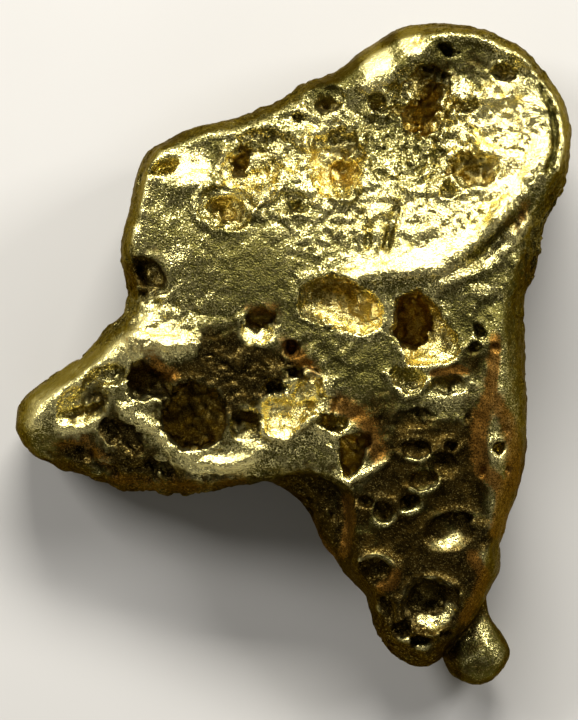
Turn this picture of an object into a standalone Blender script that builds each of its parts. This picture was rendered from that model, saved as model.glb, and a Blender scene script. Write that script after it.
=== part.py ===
"""A gold nugget, worn round by water and pitted all over, lying on its back with its pitted face up.

Its form is a field of signed distances in millimetres, negative inside the gold. A plan outline and
heights of the upper and lower face make the body, ridges and lips are added to the upper face, and
cavities are taken out of it. The surface is drawn through the zero of the field, and thinned.
+X runs to the right of the pitted face, +Y to its head, and +Z up out of it.
"""

import math

import bmesh
import bpy
import numpy as np
import openvdb

# Sizes in millimetres.
MM = 0.001
CELL = 0.075
MARGIN = 0.45
HIGHEST = 4.6
TRIANGLES = 9000
PLAN_CENTRE = (-0.138, -0.088)

# Waves of the worn surface: wavelength, and height on the upper face, at the widest level, and underneath.
LUMPS = [(2.6, 0.06, 0.05, 0.20), (1.15, 0.06, 0.06, 0.11), (0.50, 0.03, 0.03, 0.04)]
# Crumbs where the surface is rough: wavelength and height.
CRUMBS = [(0.42, 0.15)]
# How the cavities' walls wander: wavelength and reach.
CAVITY_WANDER = [(0.75, 0.20), (0.30, 0.15)]

GOLD_COLOUR = (0.62, 0.47, 0.16, 1.0)
GOLD_ROUGHNESS = 0.42

# The outline seen from above, clockwise from the top of the head.
OUTLINE = [
    (2.36, 6.52), (2.95, 6.55), (3.50, 6.48), (4.10, 6.26), (4.58, 5.97), (4.90, 5.56), (5.20, 5.14),
    (5.40, 4.64), (5.46, 4.14), (5.38, 3.56), (5.14, 2.96), (4.90, 2.50), (4.80, 2.00), (4.68, 1.44),
    (4.50, 1.00), (4.50, 0.30), (4.55, -0.60), (4.56, -1.40), (4.52, -2.10), (4.40, -2.80), (4.22, -3.40),
    (4.10, -3.90), (4.06, -4.45), (3.86, -4.82), (3.62, -5.24), (3.36, -5.64), (3.08, -5.92), (2.90, -6.16),
    (2.62, -6.37), (2.24, -6.34), (1.88, -6.14), (1.60, -5.80), (1.42, -5.36), (1.32, -4.96), (1.14, -4.62),
    (0.98, -4.30), (0.94, -3.80), (0.92, -3.30), (0.86, -2.90), (0.56, -2.66), (0.04, -2.56),
    (-0.44, -2.62), (-1.00, -2.74), (-1.70, -2.84), (-2.40, -2.94), (-3.00, -2.84), (-3.60, -2.82),
    (-4.04, -2.62), (-4.56, -2.44), (-5.04, -2.28), (-5.44, -2.04), (-5.68, -1.70), (-5.72, -1.30),
    (-5.56, -0.96), (-5.20, -0.66), (-4.70, -0.32), (-4.36, -0.08), (-4.12, 0.20), (-3.88, 0.48),
    (-3.60, 0.70), (-3.47, 0.98), (-3.50, 1.40), (-3.60, 1.84), (-3.58, 2.30), (-3.44, 2.80), (-3.36, 3.20),
    (-3.26, 3.64), (-3.06, 4.00), (-2.70, 4.24), (-2.20, 4.48), (-1.60, 4.62), (-1.04, 4.76), (-0.50, 4.98),
    (-0.16, 5.16), (0.08, 5.36), (0.50, 5.50), (0.84, 5.70), (1.12, 5.96), (1.50, 6.20), (1.90, 6.42),
]

# The web of gold between the tongue and the leg, lower than both.
WEB_OUTLINE = [
    (-0.60, -2.10), (-0.55, -2.55), (-0.24, -2.84), (0.00, -3.02), (0.20, -3.36), (0.38, -3.80),
    (0.62, -4.10), (0.92, -4.45), (1.30, -4.70), (1.60, -4.20), (1.50, -3.00), (0.60, -2.00),
]
WEB_TOP, WEB_BOTTOM, WEB_SHOULDER = 2.15, 0.55, 0.45

# The bead behind the foot of the leg, and the horn that it tapers up into: x, y, z, radius.
BEAD = (3.55, -6.06, 1.00, 0.70)
HORN_TIP = (3.68, -5.10, 1.35, 0.12)

# Heights of the upper face at spots on it: x, y, z.
TOP_SPOTS = [
    (2.0, 6.0, 3.60), (3.0, 6.1, 3.62), (4.0, 5.9, 3.64), (0.2, 5.0, 3.35), (1.0, 5.0, 3.42),
    (2.0, 5.2, 3.42), (3.0, 5.3, 3.36), (4.0, 5.2, 3.42), (4.9, 5.0, 3.64), (-2.6, 4.0, 3.20),
    (-1.6, 4.0, 3.35), (-0.4, 4.0, 3.46), (0.8, 4.2, 3.52), (2.0, 4.3, 3.54), (3.2, 4.4, 3.44),
    (4.2, 4.2, 3.62), (5.1, 4.0, 3.74), (-3.1, 3.0, 3.25), (-2.0, 3.0, 3.55), (-0.6, 3.0, 3.68),
    (0.8, 3.0, 3.76), (2.2, 3.2, 3.80), (3.2, 3.3, 3.78), (4.2, 3.3, 3.88), (5.0, 3.1, 3.66),
    (-3.2, 2.0, 3.30), (-2.0, 2.0, 3.72), (-0.6, 2.0, 3.86), (0.8, 2.0, 3.92), (2.0, 2.2, 4.00),
    (2.9, 2.3, 3.98), (3.8, 2.1, 3.76), (4.5, 2.0, 3.36), (-3.1, 1.0, 3.02), (-2.2, 1.0, 3.55),
    (-0.8, 1.0, 3.80), (0.8, 1.1, 3.88), (2.2, 1.2, 3.84), (3.4, 1.0, 3.66), (4.2, 1.0, 3.30),
    (-3.9, 0.0, 2.95), (-3.0, 0.2, 3.44), (-2.0, 0.0, 3.48), (-0.8, 0.0, 3.62), (0.6, 0.0, 3.76),
    (2.0, 0.0, 3.76), (3.2, 0.0, 3.62), (4.2, 0.0, 3.36), (-5.2, -1.0, 2.66), (-4.2, -1.0, 2.72),
    (-3.2, -1.0, 3.04), (-2.0, -0.8, 3.24), (-0.8, -1.0, 3.36), (0.6, -1.0, 3.56), (2.0, -1.0, 3.60),
    (3.3, -1.2, 3.46), (4.3, -1.0, 3.36), (-5.2, -2.0, 2.20), (-4.2, -2.0, 2.40), (-3.2, -2.1, 2.62),
    (-2.2, -2.3, 2.80), (-1.2, -2.2, 3.02), (0.0, -2.0, 3.28), (1.0, -2.0, 3.38), (2.2, -2.0, 3.34),
    (3.3, -2.2, 3.22), (4.2, -2.0, 3.28), (-3.0, -2.8, 2.30), (-1.4, -2.8, 2.50), (0.0, -2.7, 2.70),
    (1.0, -3.0, 3.06), (2.2, -3.0, 3.12), (3.2, -3.0, 3.06), (4.1, -3.0, 3.10), (1.2, -4.0, 2.80),
    (2.2, -4.0, 2.90), (3.2, -4.0, 2.90), (4.0, -4.0, 2.84), (1.5, -5.0, 2.50), (2.4, -5.0, 2.66),
    (3.3, -5.0, 2.62), (1.9, -5.7, 2.20), (2.6, -6.0, 2.14), (3.1, -5.8, 2.20),
]
TOP_REACH = 0.62

# Heights of the underside. Below zero it is worn flat, which makes the three pads it lies on.
BOTTOM_SPOTS = [
    (3.1, 4.2, -0.20), (3.6, 1.8, 0.62), (0.8, 4.0, 0.35), (-2.2, 3.0, 0.40), (-0.2, 1.6, 0.85),
    (-3.9, -1.4, -0.20), (-2.2, 0.4, 0.36), (-1.8, -1.9, 0.55), (1.2, 0.2, 0.45), (3.6, -0.6, 0.38),
    (2.6, -2.0, 0.70), (2.9, -4.1, -0.20), (2.3, -5.6, 0.60), (5.0, 2.8, 0.50), (1.6, 5.6, 0.60),
    (4.6, 5.2, 0.50), (0.4, -2.2, 0.65), (1.6, 2.4, 0.55), (-1.0, -0.6, 0.75),
]
BOTTOM_REACH = 0.80

# Swells and folds of the underside: height downwards, width, and the points they run through.
FOLDS = [
    (0.22, 0.50, [(-2.6, 3.4), (-1.6, 2.2), (-1.9, 0.9), (-2.6, 0.0)]),
    (-0.26, 0.28, [(-3.0, 1.6), (-2.0, 1.5), (-1.0, 2.4), (-0.6, 3.6)]),
    (0.20, 0.45, [(0.6, 4.6), (0.9, 3.2), (0.6, 2.0), (1.4, 0.6)]),
    (-0.24, 0.30, [(1.9, 3.2), (2.4, 1.8), (2.2, 0.6), (2.8, -0.6), (2.4, -1.8)]),
    (0.18, 0.40, [(3.9, 1.4), (3.6, 0.0), (3.7, -1.4), (3.5, -2.6)]),
    (-0.22, 0.26, [(-2.4, -1.2), (-1.4, -0.9), (-0.4, -1.4), (0.4, -1.0)]),
]

# Height of the widest level, and how far in from the outline the edge is rounded over: x, y, value.
WAIST_SPOTS = [
    (3.4, 4.8, 1.95), (-2.4, 3.0, 1.85), (0.0, 1.0, 1.80), (-4.6, -1.4, 1.45), (3.0, -1.0, 1.75),
    (2.4, -5.4, 1.30),
]
SHOULDER_SPOTS = [
    (1.0, 5.7, 0.30), (1.6, 6.0, 0.28), (2.3, 6.4, 0.28), (3.1, 6.4, 0.28), (4.8, 5.4, 0.30),
    (5.3, 4.0, 0.30), (5.0, 2.8, 0.46), (4.6, 1.6, 0.52), (4.4, 0.0, 0.46), (4.4, -1.6, 0.50),
    (4.2, -3.4, 0.50), (3.7, -4.8, 0.60), (2.4, -6.2, 0.65), (1.4, -5.4, 0.60), (1.0, -4.2, 0.30),
    (0.2, -2.6, 0.22), (-1.4, -2.8, 0.60), (-3.6, -2.8, 0.85), (-5.2, -2.0, 0.85), (-5.3, -0.9, 0.44),
    (-4.2, 0.0, 0.40), (-3.4, 1.0, 0.50), (-3.4, 2.6, 0.38), (-2.8, 4.0, 0.40), (-1.4, 4.6, 0.40),
    (0.2, 5.2, 0.36),
]
WAIST_REACH, SHOULDER_REACH = 1.6, 0.7

# Ridges and grooves of the upper face: height, width, and the points they run through.
RIDGES = [
    # The head's rim.
    (0.14, 0.19, [(2.60, 6.29), (3.20, 6.35), (3.74, 6.24), (4.16, 6.04), (4.52, 5.80)]),
    (0.24, 0.10, [(4.30, 5.98), (4.60, 5.74), (4.92, 5.36), (5.16, 4.96), (5.29, 4.50), (5.30, 4.00),
                  (5.20, 3.60)]),
    (-0.14, 0.07, [(4.82, 5.24), (5.02, 4.86), (5.10, 4.40), (5.08, 3.96), (4.96, 3.60)]),
    # The broad swell at its left end.
    (0.22, 0.28, [(1.30, 5.30), (1.70, 5.56), (2.10, 5.80), (2.50, 5.94)]),
    (-0.24, 0.28, [(0.80, 5.80), (1.20, 6.06), (1.60, 6.30), (2.00, 6.48), (2.50, 6.58)]),
    # The lip at the lower end of the head's basin, and the folds below it.
    (0.18, 0.27, [(4.84, 3.86), (4.62, 3.46), (4.28, 3.00), (4.00, 2.64)]),
    (0.23, 0.27, [(4.02, 2.70), (3.80, 2.44), (3.48, 2.12), (3.10, 1.84), (2.70, 1.62), (2.10, 1.56),
                  (1.50, 1.48), (1.04, 1.48)]),
    (-0.12, 0.14, [(4.64, 2.84), (4.30, 2.56), (3.90, 2.18), (3.50, 1.80)]),
    (0.12, 0.16, [(4.50, 2.46), (4.14, 2.10), (3.86, 1.72), (3.30, 1.44), (2.80, 1.26)]),
    (0.12, 0.30, [(4.20, 1.30), (3.80, 1.20), (3.50, 1.06)]),
    # The rib down the right side, and the groove beside it.
    (0.18, 0.20, [(3.98, 0.60), (3.94, 0.10), (3.96, -1.00), (3.86, -1.80), (3.84, -2.60), (3.90, -3.40),
                  (3.72, -4.20), (3.62, -4.80), (3.34, -5.50), (3.02, -5.90)]),
    (-0.09, 0.16, [(3.56, -0.40), (3.48, -1.40), (3.40, -2.20), (3.50, -3.00), (3.68, -3.30)]),
    # The edge of the leg above the web.
    (0.16, 0.12, [(0.96, -2.80), (1.06, -3.30), (1.00, -3.90), (1.06, -4.20)]),
    (-0.20, 0.24, [(-5.60, -1.10), (-5.20, -0.66), (-4.70, -0.32), (-4.12, 0.20), (-3.80, 0.60)]),
    # The tongue's upper rim, the ledge above it, and the ridge under its great cavity.
    (0.15, 0.22, [(-3.30, 0.02), (-3.60, -0.05), (-4.01, -0.20), (-4.43, -0.48), (-4.86, -0.80),
                  (-5.20, -1.10), (-5.36, -1.50)]),
    (0.22, 0.24, [(-3.30, 0.30), (-2.90, 0.12), (-2.50, 0.06), (-2.20, 0.14)]),
    (0.14, 0.18, [(-3.50, -1.26), (-3.00, -1.52), (-2.64, -1.92), (-2.20, -2.20), (-1.50, -2.36),
                  (-1.10, -2.24), (-0.76, -2.04)]),
    # The lip over the web.
    (0.14, 0.09, [(-2.40, -2.60), (-1.20, -2.62), (-0.60, -2.56), (-0.20, -2.46), (0.20, -2.46),
                  (0.60, -2.58), (0.90, -2.68), (1.30, -2.50), (1.70, -2.24)]),
    # The rim of the bright bowls in the middle.
    (0.10, 0.09, [(-0.78, -1.50), (-0.70, -1.70), (-0.30, -1.78), (0.10, -1.50), (0.32, -1.10)]),
    # The shoulder's edges.
    (0.18, 0.11, [(-2.82, 3.98), (-2.94, 3.74)]),
    (0.20, 0.11, [(-3.06, 3.46), (-3.14, 3.10), (-3.20, 2.78)]),
    (0.16, 0.10, [(-3.34, 2.42), (-3.36, 2.20)]),
    (0.12, 0.12, [(-2.80, 4.02), (-2.40, 4.20), (-1.80, 4.36), (-1.10, 4.52), (-0.60, 4.72), (0.00, 5.10),
                  (0.40, 5.30)]),
    (0.17, 0.25, [(-2.40, 3.28), (-2.14, 3.38), (-1.92, 3.38)]),
    # The walls between the shoulder's cavities.
    (0.18, 0.09, [(0.16, 4.40), (0.08, 4.16), (0.12, 3.96)]),
    (0.18, 0.09, [(0.28, 3.92), (0.34, 3.56), (0.48, 3.22)]),
    (0.22, 0.10, [(-1.50, 3.96), (-1.50, 3.60), (-1.46, 3.30)]),
    (0.20, 0.13, [(-0.86, 2.94), (-0.62, 3.10), (-0.50, 3.30)]),
    (0.12, 0.09, [(-1.46, 4.36), (-1.10, 4.24), (-0.80, 4.30)]),
    (0.12, 0.10, [(1.30, 3.30), (1.00, 3.06), (0.60, 3.10)]),
    # Clefts and swells of the head's basin.
    (-0.12, 0.07, [(1.22, 2.70), (1.38, 2.50), (1.34, 2.10)]),
    (-0.20, 0.08, [(1.92, 2.80), (1.80, 2.40), (1.72, 2.04)]),
    (0.20, 0.20, [(3.90, 5.10), (4.20, 5.14)]), (0.14, 0.20, [(3.14, 5.12), (3.26, 5.20)]),
    (0.10, 0.14, [(1.00, 3.00), (1.30, 4.60), (2.00, 5.60)]),
    # Light streaks beside the small cavities of the leg.
    (0.10, 0.09, [(1.74, -0.48), (2.12, -0.92), (2.56, -0.62)]),
    (0.08, 0.07, [(1.94, -2.06), (2.40, -2.20), (2.62, -2.06)]),
    (0.08, 0.07, [(2.10, -2.74), (2.50, -2.80), (2.76, -2.70)]),
]

# Cavities of the upper face: x, y, half length, half width, turn in degrees, depth, how much wider they are
# inside than at the mouth, from -0.6 for a shallow dish to 0.6 for a flask, and the height of the lip.
CAVITIES = [
    # The middle.
    (-0.82, 0.40, 0.34, 0.30, 0, 0.26, -0.4, 0.04), (-0.16, 0.00, 0.13, 0.17, 0, 0.24, 0.1, 0.03),
    (-0.38, -1.30, 0.40, 0.42, 0, 0.30, -0.35, 0.06), (0.10, -0.94, 0.34, 0.42, -20, 0.28, -0.35, 0.06),
    (-0.48, -0.80, 0.23, 0.08, 5, 0.38, 0.1, 0.05), (0.06, -0.52, 0.28, 0.07, -8, 0.32, 0.1, 0.05),
    (0.50, -1.10, 0.22, 0.20, 0, 0.18, -0.4, 0.05), (0.62, -1.50, 0.26, 0.14, -5, 0.38, 0.1, 0.06),
    # The tongue.
    (-4.40, -1.10, 0.58, 0.34, 28, 0.22, -0.5, 0.03), (-4.40, -1.24, 0.46, 0.09, 14, 0.40, 0.1, 0.02),
    (-3.90, -0.52, 0.38, 0.20, 15, 0.22, -0.2, 0.02), (-4.16, -0.72, 0.18, 0.15, 0, 0.24, 0.0, 0.03),
    (-4.50, -2.08, 0.42, 0.22, -18, 0.16, -0.3, 0.02), (-3.60, -1.74, 0.46, 0.26, -30, 0.14, -0.4, 0.02),
    (-2.80, -2.40, 0.40, 0.20, -12, 0.14, -0.3, 0.02), (-3.90, -2.36, 0.26, 0.16, -30, 0.14, -0.2, 0.02),
    (-1.70, -2.60, 0.34, 0.10, 0, 0.16, 0.0, 0.03),
    # The left edge.
    (-3.04, 1.50, 0.50, 0.27, -35, 0.42, -0.2, 0.01), (-3.10, 1.10, 0.24, 0.16, 0, 0.16, -0.2, 0.03),
    # The shoulder.
    (-2.72, 3.66, 0.30, 0.11, 20, 0.34, 0.1, 0.03), (-0.76, 3.84, 0.80, 0.56, 10, 0.30, -0.5, 0.05),
    (-1.16, 3.76, 0.19, 0.23, 0, 0.66, 0.3, 0.03), (-0.56, 3.66, 0.08, 0.07, 0, 0.20, 0.1, 0.02),
    (-0.56, 4.14, 0.27, 0.18, 10, 0.30, 0.0, 0.03), (-1.50, 2.86, 0.50, 0.40, 0, 0.17, -0.5, 0.12),
    (-1.54, 2.84, 0.30, 0.25, 15, 0.48, 0.1, 0.03), (0.74, 3.80, 0.50, 0.72, 0, 0.32, -0.5, 0.05),
    (0.84, 3.64, 0.18, 0.26, 0, 0.58, 0.2, 0.03), (0.64, 4.16, 0.13, 0.20, 0, 0.28, 0.1, 0.03),
    (0.42, 5.02, 0.44, 0.30, 0, 0.18, -0.5, 0.05), (0.50, 4.92, 0.22, 0.15, 0, 0.38, 0.1, 0.03),
    (-0.14, 2.94, 0.32, 0.20, 0, 0.13, -0.5, 0.05), (-0.10, 2.92, 0.09, 0.09, 0, 0.26, 0.1, 0.02),
    (-0.04, 4.66, 0.08, 0.06, 0, 0.17, 0.1, 0.02),
    # The head.
    (2.48, 4.70, 0.44, 0.38, 35, 0.80, 0.1, 0.0), (2.66, 5.18, 0.26, 0.30, 15, 0.50, 0.0, 0.0),
    (2.44, 4.44, 0.22, 0.13, 10, 0.95, 0.1, 0.0), (2.96, 6.00, 0.17, 0.08, -35, 0.32, 0.1, 0.04),
    (3.36, 4.88, 0.23, 0.11, 20, 0.24, 0.0, 0.05), (2.80, 3.94, 0.14, 0.10, 0, 0.18, 0.0, 0.04),
    (2.94, 3.20, 0.12, 0.10, 0, 0.18, 0.0, 0.04),
    # The right side and the leg.
    (3.58, 0.36, 0.18, 0.08, -55, 0.20, 0.0, 0.08), (3.50, 0.06, 0.13, 0.07, 20, 0.16, 0.0, 0.06),
    (3.96, -1.96, 0.14, 0.12, 20, 0.34, 0.2, 0.05), (2.98, -0.74, 0.32, 0.18, 0, 0.18, -0.4, 0.02),
    (2.34, -2.00, 0.27, 0.14, -5, 0.12, -0.2, 0.06), (3.02, -1.92, 0.10, 0.08, 0, 0.12, 0.0, 0.05),
    (2.48, -2.60, 0.28, 0.16, 5, 0.14, -0.1, 0.05), (3.14, -3.42, 0.32, 0.17, 12, 0.26, 0.0, 0.03),
    (2.96, -3.68, 0.47, 0.36, 12, 0.24, -0.4, 0.05), (1.50, -4.44, 0.34, 0.28, 0, 0.20, -0.1, 0.14),
    (2.64, -5.14, 0.54, 0.50, 0, 0.20, -0.5, 0.12), (2.56, -5.02, 0.38, 0.36, 0, 0.46, 0.1, 0.0),
    (2.44, -5.84, 0.20, 0.12, 0, 0.18, -0.2, 0.08), (1.76, -5.20, 0.16, 0.24, 20, 0.14, -0.3, 0.07),
    (2.04, -5.62, 0.22, 0.15, 40, 0.18, -0.2, 0.08), (2.92, -5.72, 0.15, 0.10, 0, 0.12, -0.2, 0.05),
    (2.30, -1.40, 0.40, 0.20, 10, 0.12, -0.4, 0.02), (2.90, -2.30, 0.30, 0.22, 0, 0.12, -0.4, 0.02),
]

# Cavities with corners: depth at the mouth's middle, slope of the floor along x and y, height of the lip,
# and the points of the mouth.
ANGULAR_CAVITIES = [
    # The long trough, its floor falling to its right end.
    (0.42, (-0.20, -0.24), 0.05, [(0.00, 1.16), (0.30, 1.42), (0.90, 1.44), (1.30, 1.12), (1.60, 0.90),
                                  (1.62, 0.60), (1.40, 0.36), (1.00, 0.38), (0.40, 0.64), (0.04, 0.72)]),
    # The great angular hole, and the floor beside it.
    (0.52, (0.10, -0.25), 0.06, [(2.00, 1.06), (2.40, 1.14), (2.80, 0.74), (3.12, 0.24), (3.14, -0.10),
                                 (2.80, -0.24), (2.20, -0.24), (2.08, 0.00), (1.96, 0.34), (1.90, 0.80)]),
    (1.15, (0.0, 0.0), 0.0, [(1.96, 0.92), (2.04, 1.02), (2.24, 1.08), (2.58, 0.76), (2.64, 0.60),
                             (2.55, 0.22), (2.32, 0.08), (2.14, 0.14), (1.86, 0.36), (1.92, 0.60)]),
    # The dark hole above a bright bowl, left of the middle.
    (0.50, (0.0, 0.0), 0.02, [(-1.06, 0.70), (-0.88, 0.86), (-0.64, 0.78), (-0.56, 0.56), (-0.78, 0.46),
                              (-1.04, 0.50)]),
    # The tongue's great cavity, with a nearly level floor.
    (0.95, (0.0, 0.05), 0.06, [(-2.44, -0.71), (-2.08, -0.65), (-1.66, -0.89), (-1.49, -1.32),
                               (-1.57, -1.74), (-1.90, -1.95), (-2.38, -1.98), (-2.71, -1.62),
                               (-2.74, -1.26), (-2.53, -0.89)]),
    # The pit to its right, its floor rising to the lower end.
    (0.34, (0.0, -0.7), 0.04, [(-1.30, -1.36), (-1.16, -1.22), (-0.88, -1.22), (-0.78, -1.40),
                               (-0.80, -1.64), (-0.96, -1.84), (-1.24, -1.86), (-1.34, -1.62)]),
    # The three-cornered pit to its left, its floor rising to the lower end.
    (0.50, (-0.10, -0.60), 0.05, [(-3.44, -0.44), (-3.28, -0.26), (-3.00, -0.32), (-2.46, -0.76),
                                  (-2.60, -0.92), (-3.00, -0.98), (-3.32, -1.04), (-3.46, -0.84)]),
    # The three-cornered pit above the leg.
    (0.22, (0.0, 0.0), 0.02, [(1.80, -0.46), (2.10, -0.42), (2.48, -0.54), (2.36, -0.76), (2.13, -0.88),
                              (1.94, -0.70)]),
    # The drop-shaped pit at the top of the leg.
    (0.62, (0.0, 0.2), 0.06, [(0.86, -1.74), (1.40, -1.74), (1.36, -2.04), (1.16, -2.40), (0.92, -2.56),
                              (0.84, -2.30)]),
    # Two small pits of the leg.
    (0.18, (0.0, 0.0), 0.07, [(1.60, -3.04), (1.86, -3.12), (1.82, -3.44), (1.56, -3.40), (1.48, -3.20)]),
    (0.18, (0.0, 0.0), 0.07, [(2.04, -2.98), (2.24, -2.90), (2.38, -3.00), (2.34, -3.14), (2.10, -3.22)]),
    # The head's great cavity, deepest at its lower end.
    (0.26, (0.0, -0.10), 0.03, [(2.30, 5.58), (2.54, 5.66), (2.92, 5.48), (2.98, 5.16), (3.06, 4.96),
                                (2.94, 4.60), (2.78, 4.30), (2.44, 4.24), (2.14, 4.40), (2.04, 4.66),
                                (1.84, 4.82), (1.98, 5.06)]),
    # Two small pits of the head.
    (0.32, (0.2, 0.0), 0.03, [(1.42, 5.06), (1.54, 5.12), (1.68, 4.96), (1.74, 4.74), (1.56, 4.74),
                              (1.40, 4.88)]),
    (0.20, (0.0, 0.1), 0.04, [(3.84, 5.56), (4.04, 5.68), (4.28, 5.54), (4.20, 5.38), (3.98, 5.42)]),
    # The three-cornered pit in the head's basin.
    (0.40, (0.1, 0.1), 0.05, [(3.00, 3.84), (3.90, 3.90), (3.94, 3.64), (3.56, 3.24), (3.20, 3.40),
                              (2.96, 3.60)]),
]

# Cavities of the sides and the underside: x, y, z, and the rest as for the upper face, without the lip.
HIDDEN_CAVITIES = [
    (4.95, 2.6, 2.3, 0.40, 0.28, 30, 0.40, 0.0), (4.55, -0.4, 1.6, 0.45, 0.30, 80, 0.45, 0.1),
    (3.5, 6.45, 1.9, 0.42, 0.30, 5, 0.36, 0.0), (0.2, 5.40, 1.7, 0.36, 0.30, 0, 0.36, 0.1),
    (-3.6, 2.3, 1.8, 0.48, 0.34, 20, 0.45, 0.0), (-4.6, -0.25, 1.4, 0.34, 0.24, 0, 0.30, 0.0),
    (-2.2, -2.9, 1.5, 0.50, 0.30, 10, 0.40, 0.0), (4.1, -3.9, 1.3, 0.36, 0.26, 60, 0.32, 0.0),
    (0.2, 0.2, 0.7, 0.70, 0.55, 30, 0.60, 0.1), (-1.6, 2.4, 0.5, 0.50, 0.42, -20, 0.50, 0.1),
    (2.0, 2.6, 0.4, 0.60, 0.44, 50, 0.50, 0.0), (1.2, -1.4, 0.6, 0.42, 0.36, 0, 0.42, 0.2),
    (3.6, 0.6, 0.5, 0.36, 0.30, 0, 0.36, 0.1), (-2.6, -0.6, 0.4, 0.44, 0.34, 15, 0.40, 0.0),
    (1.0, 4.4, 0.5, 0.40, 0.34, 0, 0.40, 0.1), (2.4, -5.0, 0.4, 0.30, 0.24, 70, 0.30, 0.0),
    (4.6, 4.4, 0.6, 0.34, 0.28, 0, 0.34, 0.0), (-0.6, -1.6, 0.5, 0.36, 0.30, 0, 0.36, 0.2),
]

# How rough the surface is at spots of the plan: x, y, from 0 for smooth to 1 for crumbly.
CRUMBLE_SPOTS = [
    # The head: its rim, its basin, and the folds below.
    (1.4, 5.9, 0.05), (2.6, 6.5, 0.1), (4.2, 6.2, 0.15), (5.3, 4.6, 0.1), (5.2, 3.4, 0.2), (2.5, 4.7, 1.4),
    (2.9, 5.6, 0.5), (3.9, 5.4, 0.6), (3.4, 4.4, 0.8), (4.4, 4.4, 0.7), (4.4, 3.8, 0.6), (3.6, 3.5, 0.7),
    (2.6, 3.6, 0.8), (2.6, 2.6, 0.7), (1.8, 2.6, 0.9), (1.0, 2.6, 0.8), (1.6, 3.8, 0.7), (1.8, 1.8, 0.1),
    (3.0, 2.0, 0.05), (4.0, 2.8, 0.4), (4.5, 2.4, 0.9), (3.7, 1.9, 0.8), (4.3, 1.6, 0.35), (4.0, 0.8, 0.25),
    (3.0, 1.2, 0.2),
    # The shoulder and the plateau.
    (-2.6, 4.1, 0.2), (-1.2, 4.4, 0.2), (0.3, 4.9, 0.3), (-2.2, 3.5, 0.1), (-3.2, 3.2, 0.1),
    (-2.4, 2.9, 0.3), (-0.9, 3.7, 0.7), (-1.5, 2.9, 0.5), (-0.2, 3.2, 0.6), (0.8, 3.8, 0.7),
    (-2.2, 2.0, 0.1), (-0.8, 2.0, 0.15), (0.4, 2.0, 0.35), (-1.0, 1.2, 0.15), (0.0, 0.6, 0.15),
    (-2.0, 1.2, 0.2), (-2.9, 1.6, 0.1), (-2.6, 0.6, 0.5), (-3.1, 0.6, 0.9),
    # The middle.
    (0.8, 0.9, 0.5), (1.0, 0.1, 0.15), (1.4, -0.6, 0.15), (2.6, 0.4, 0.3), (3.4, 0.2, 0.35),
    (-1.6, 0.1, 0.6), (-1.4, -0.5, 0.9), (-0.6, -0.4, 0.8), (0.2, -0.2, 0.7), (-0.2, -1.2, 0.8),
    (0.6, -1.0, 0.6), (2.6, -0.8, 0.5), (1.6, -1.4, 0.4), (3.2, -1.2, 0.35), (-0.4, -2.1, 0.2),
    # The tongue.
    (-5.5, -1.5, 0.1), (-4.9, -0.9, 0.1), (-4.2, -0.3, 0.15), (-4.4, -1.2, 0.2), (-3.6, -0.9, 0.3),
    (-3.0, -0.6, 0.2), (-1.0, -1.6, 0.0), (-3.8, -1.8, 0.6), (-4.8, -2.0, 0.4), (-3.0, -2.3, 0.5),
    (-2.1, -1.3, 0.1), (-2.2, -2.4, 0.6), (-1.4, -2.4, 0.5), (-2.8, -1.7, 0.7),
    # The right side, the leg and the web.
    (4.2, -0.2, 0.15), (4.0, -1.6, 0.2), (4.1, -3.0, 0.2), (2.4, -2.2, 0.25), (3.0, -2.6, 0.2),
    (1.9, -3.0, 0.25), (1.2, -2.2, 0.3), (1.6, -3.7, 0.1), (2.4, -4.0, 0.05), (3.0, -3.6, 0.15),
    (3.3, -4.6, 0.15), (1.6, -4.6, 0.15), (1.8, -5.4, 0.4), (2.6, -5.0, 0.0), (2.4, -6.1, 0.5),
    (3.3, -5.4, 0.2), (0.5, -3.4, 0.5), (-0.1, -2.9, 0.5), (3.7, -6.2, 0.1),
]
CRUMBLE_REACH = 0.60
# How rough it is below the widest level, how much rougher inside the cavities, and how deep that starts.
CRUMBLE_BELOW, CRUMBLE_INSIDE, INSIDE_DEPTH = 0.12, 0.25, 0.20
# The mean height of the crumbs, as a share of their greatest.
CRUMB_MEAN = 0.45
# How much the walls of cavities wander: where it is smooth, in cavities with corners, and the half width
# from which on they wander fully.
LEAST_WANDER, ANGULAR_WANDER, WANDER_WIDTH = 0.35, 0.4, 0.3
# How far around a cavity the field is changed.
ANGULAR_REACH, EGG_REACH, EGG_EDGE = 0.3, 1.4, 0.25
# How much wider the edge is rounded below the widest level than above, and the height of the change.
UNDER_SHOULDER = 1.7
WAIST_BLEND = 0.45
STEEPEST_SHARE = 0.98
LIP_SPREAD = 0.10
LIP_ROUNDING = 0.06
FLOOR_ROUNDING = 0.24
BODY_ROUNDING = 0.28
NEAR_SURFACE = 0.45
PAD_LEVEL = 0.02
LUMP_SEED, WANDER_SEED, CRUMB_SEED = 1, 11, 31


def corner_gradients(seed, size=32):
    """Unit vectors at the corners of a repeating cube of cells."""
    vectors = np.random.default_rng(seed).normal(size=(size, size, size, 3)).astype(np.float32)
    return vectors / np.linalg.norm(vectors, axis=-1, keepdims=True)


def waves(points, wavelength, gradients):
    """Smooth random waves, from about -0.7 to 0.7, at points of shape (..., 3)."""
    place = points / np.float32(wavelength)
    cell = np.floor(place).astype(np.int32)
    part = (place - cell).astype(np.float32)
    ease = part * part * part * (part * (part * 6 - 15) + 10)
    size = len(gradients)
    total = np.zeros(part.shape[:-1], np.float32)
    for corner in np.ndindex(2, 2, 2):
        weight = np.ones_like(total)
        for axis, step in enumerate(corner):
            weight *= ease[..., axis] if step else 1 - ease[..., axis]
        at = (cell + np.array(corner, np.int32)) % size
        slope = gradients[at[..., 0], at[..., 1], at[..., 2]]
        total += weight * ((part - np.array(corner, np.float32)) * slope).sum(-1)
    return total


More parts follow.
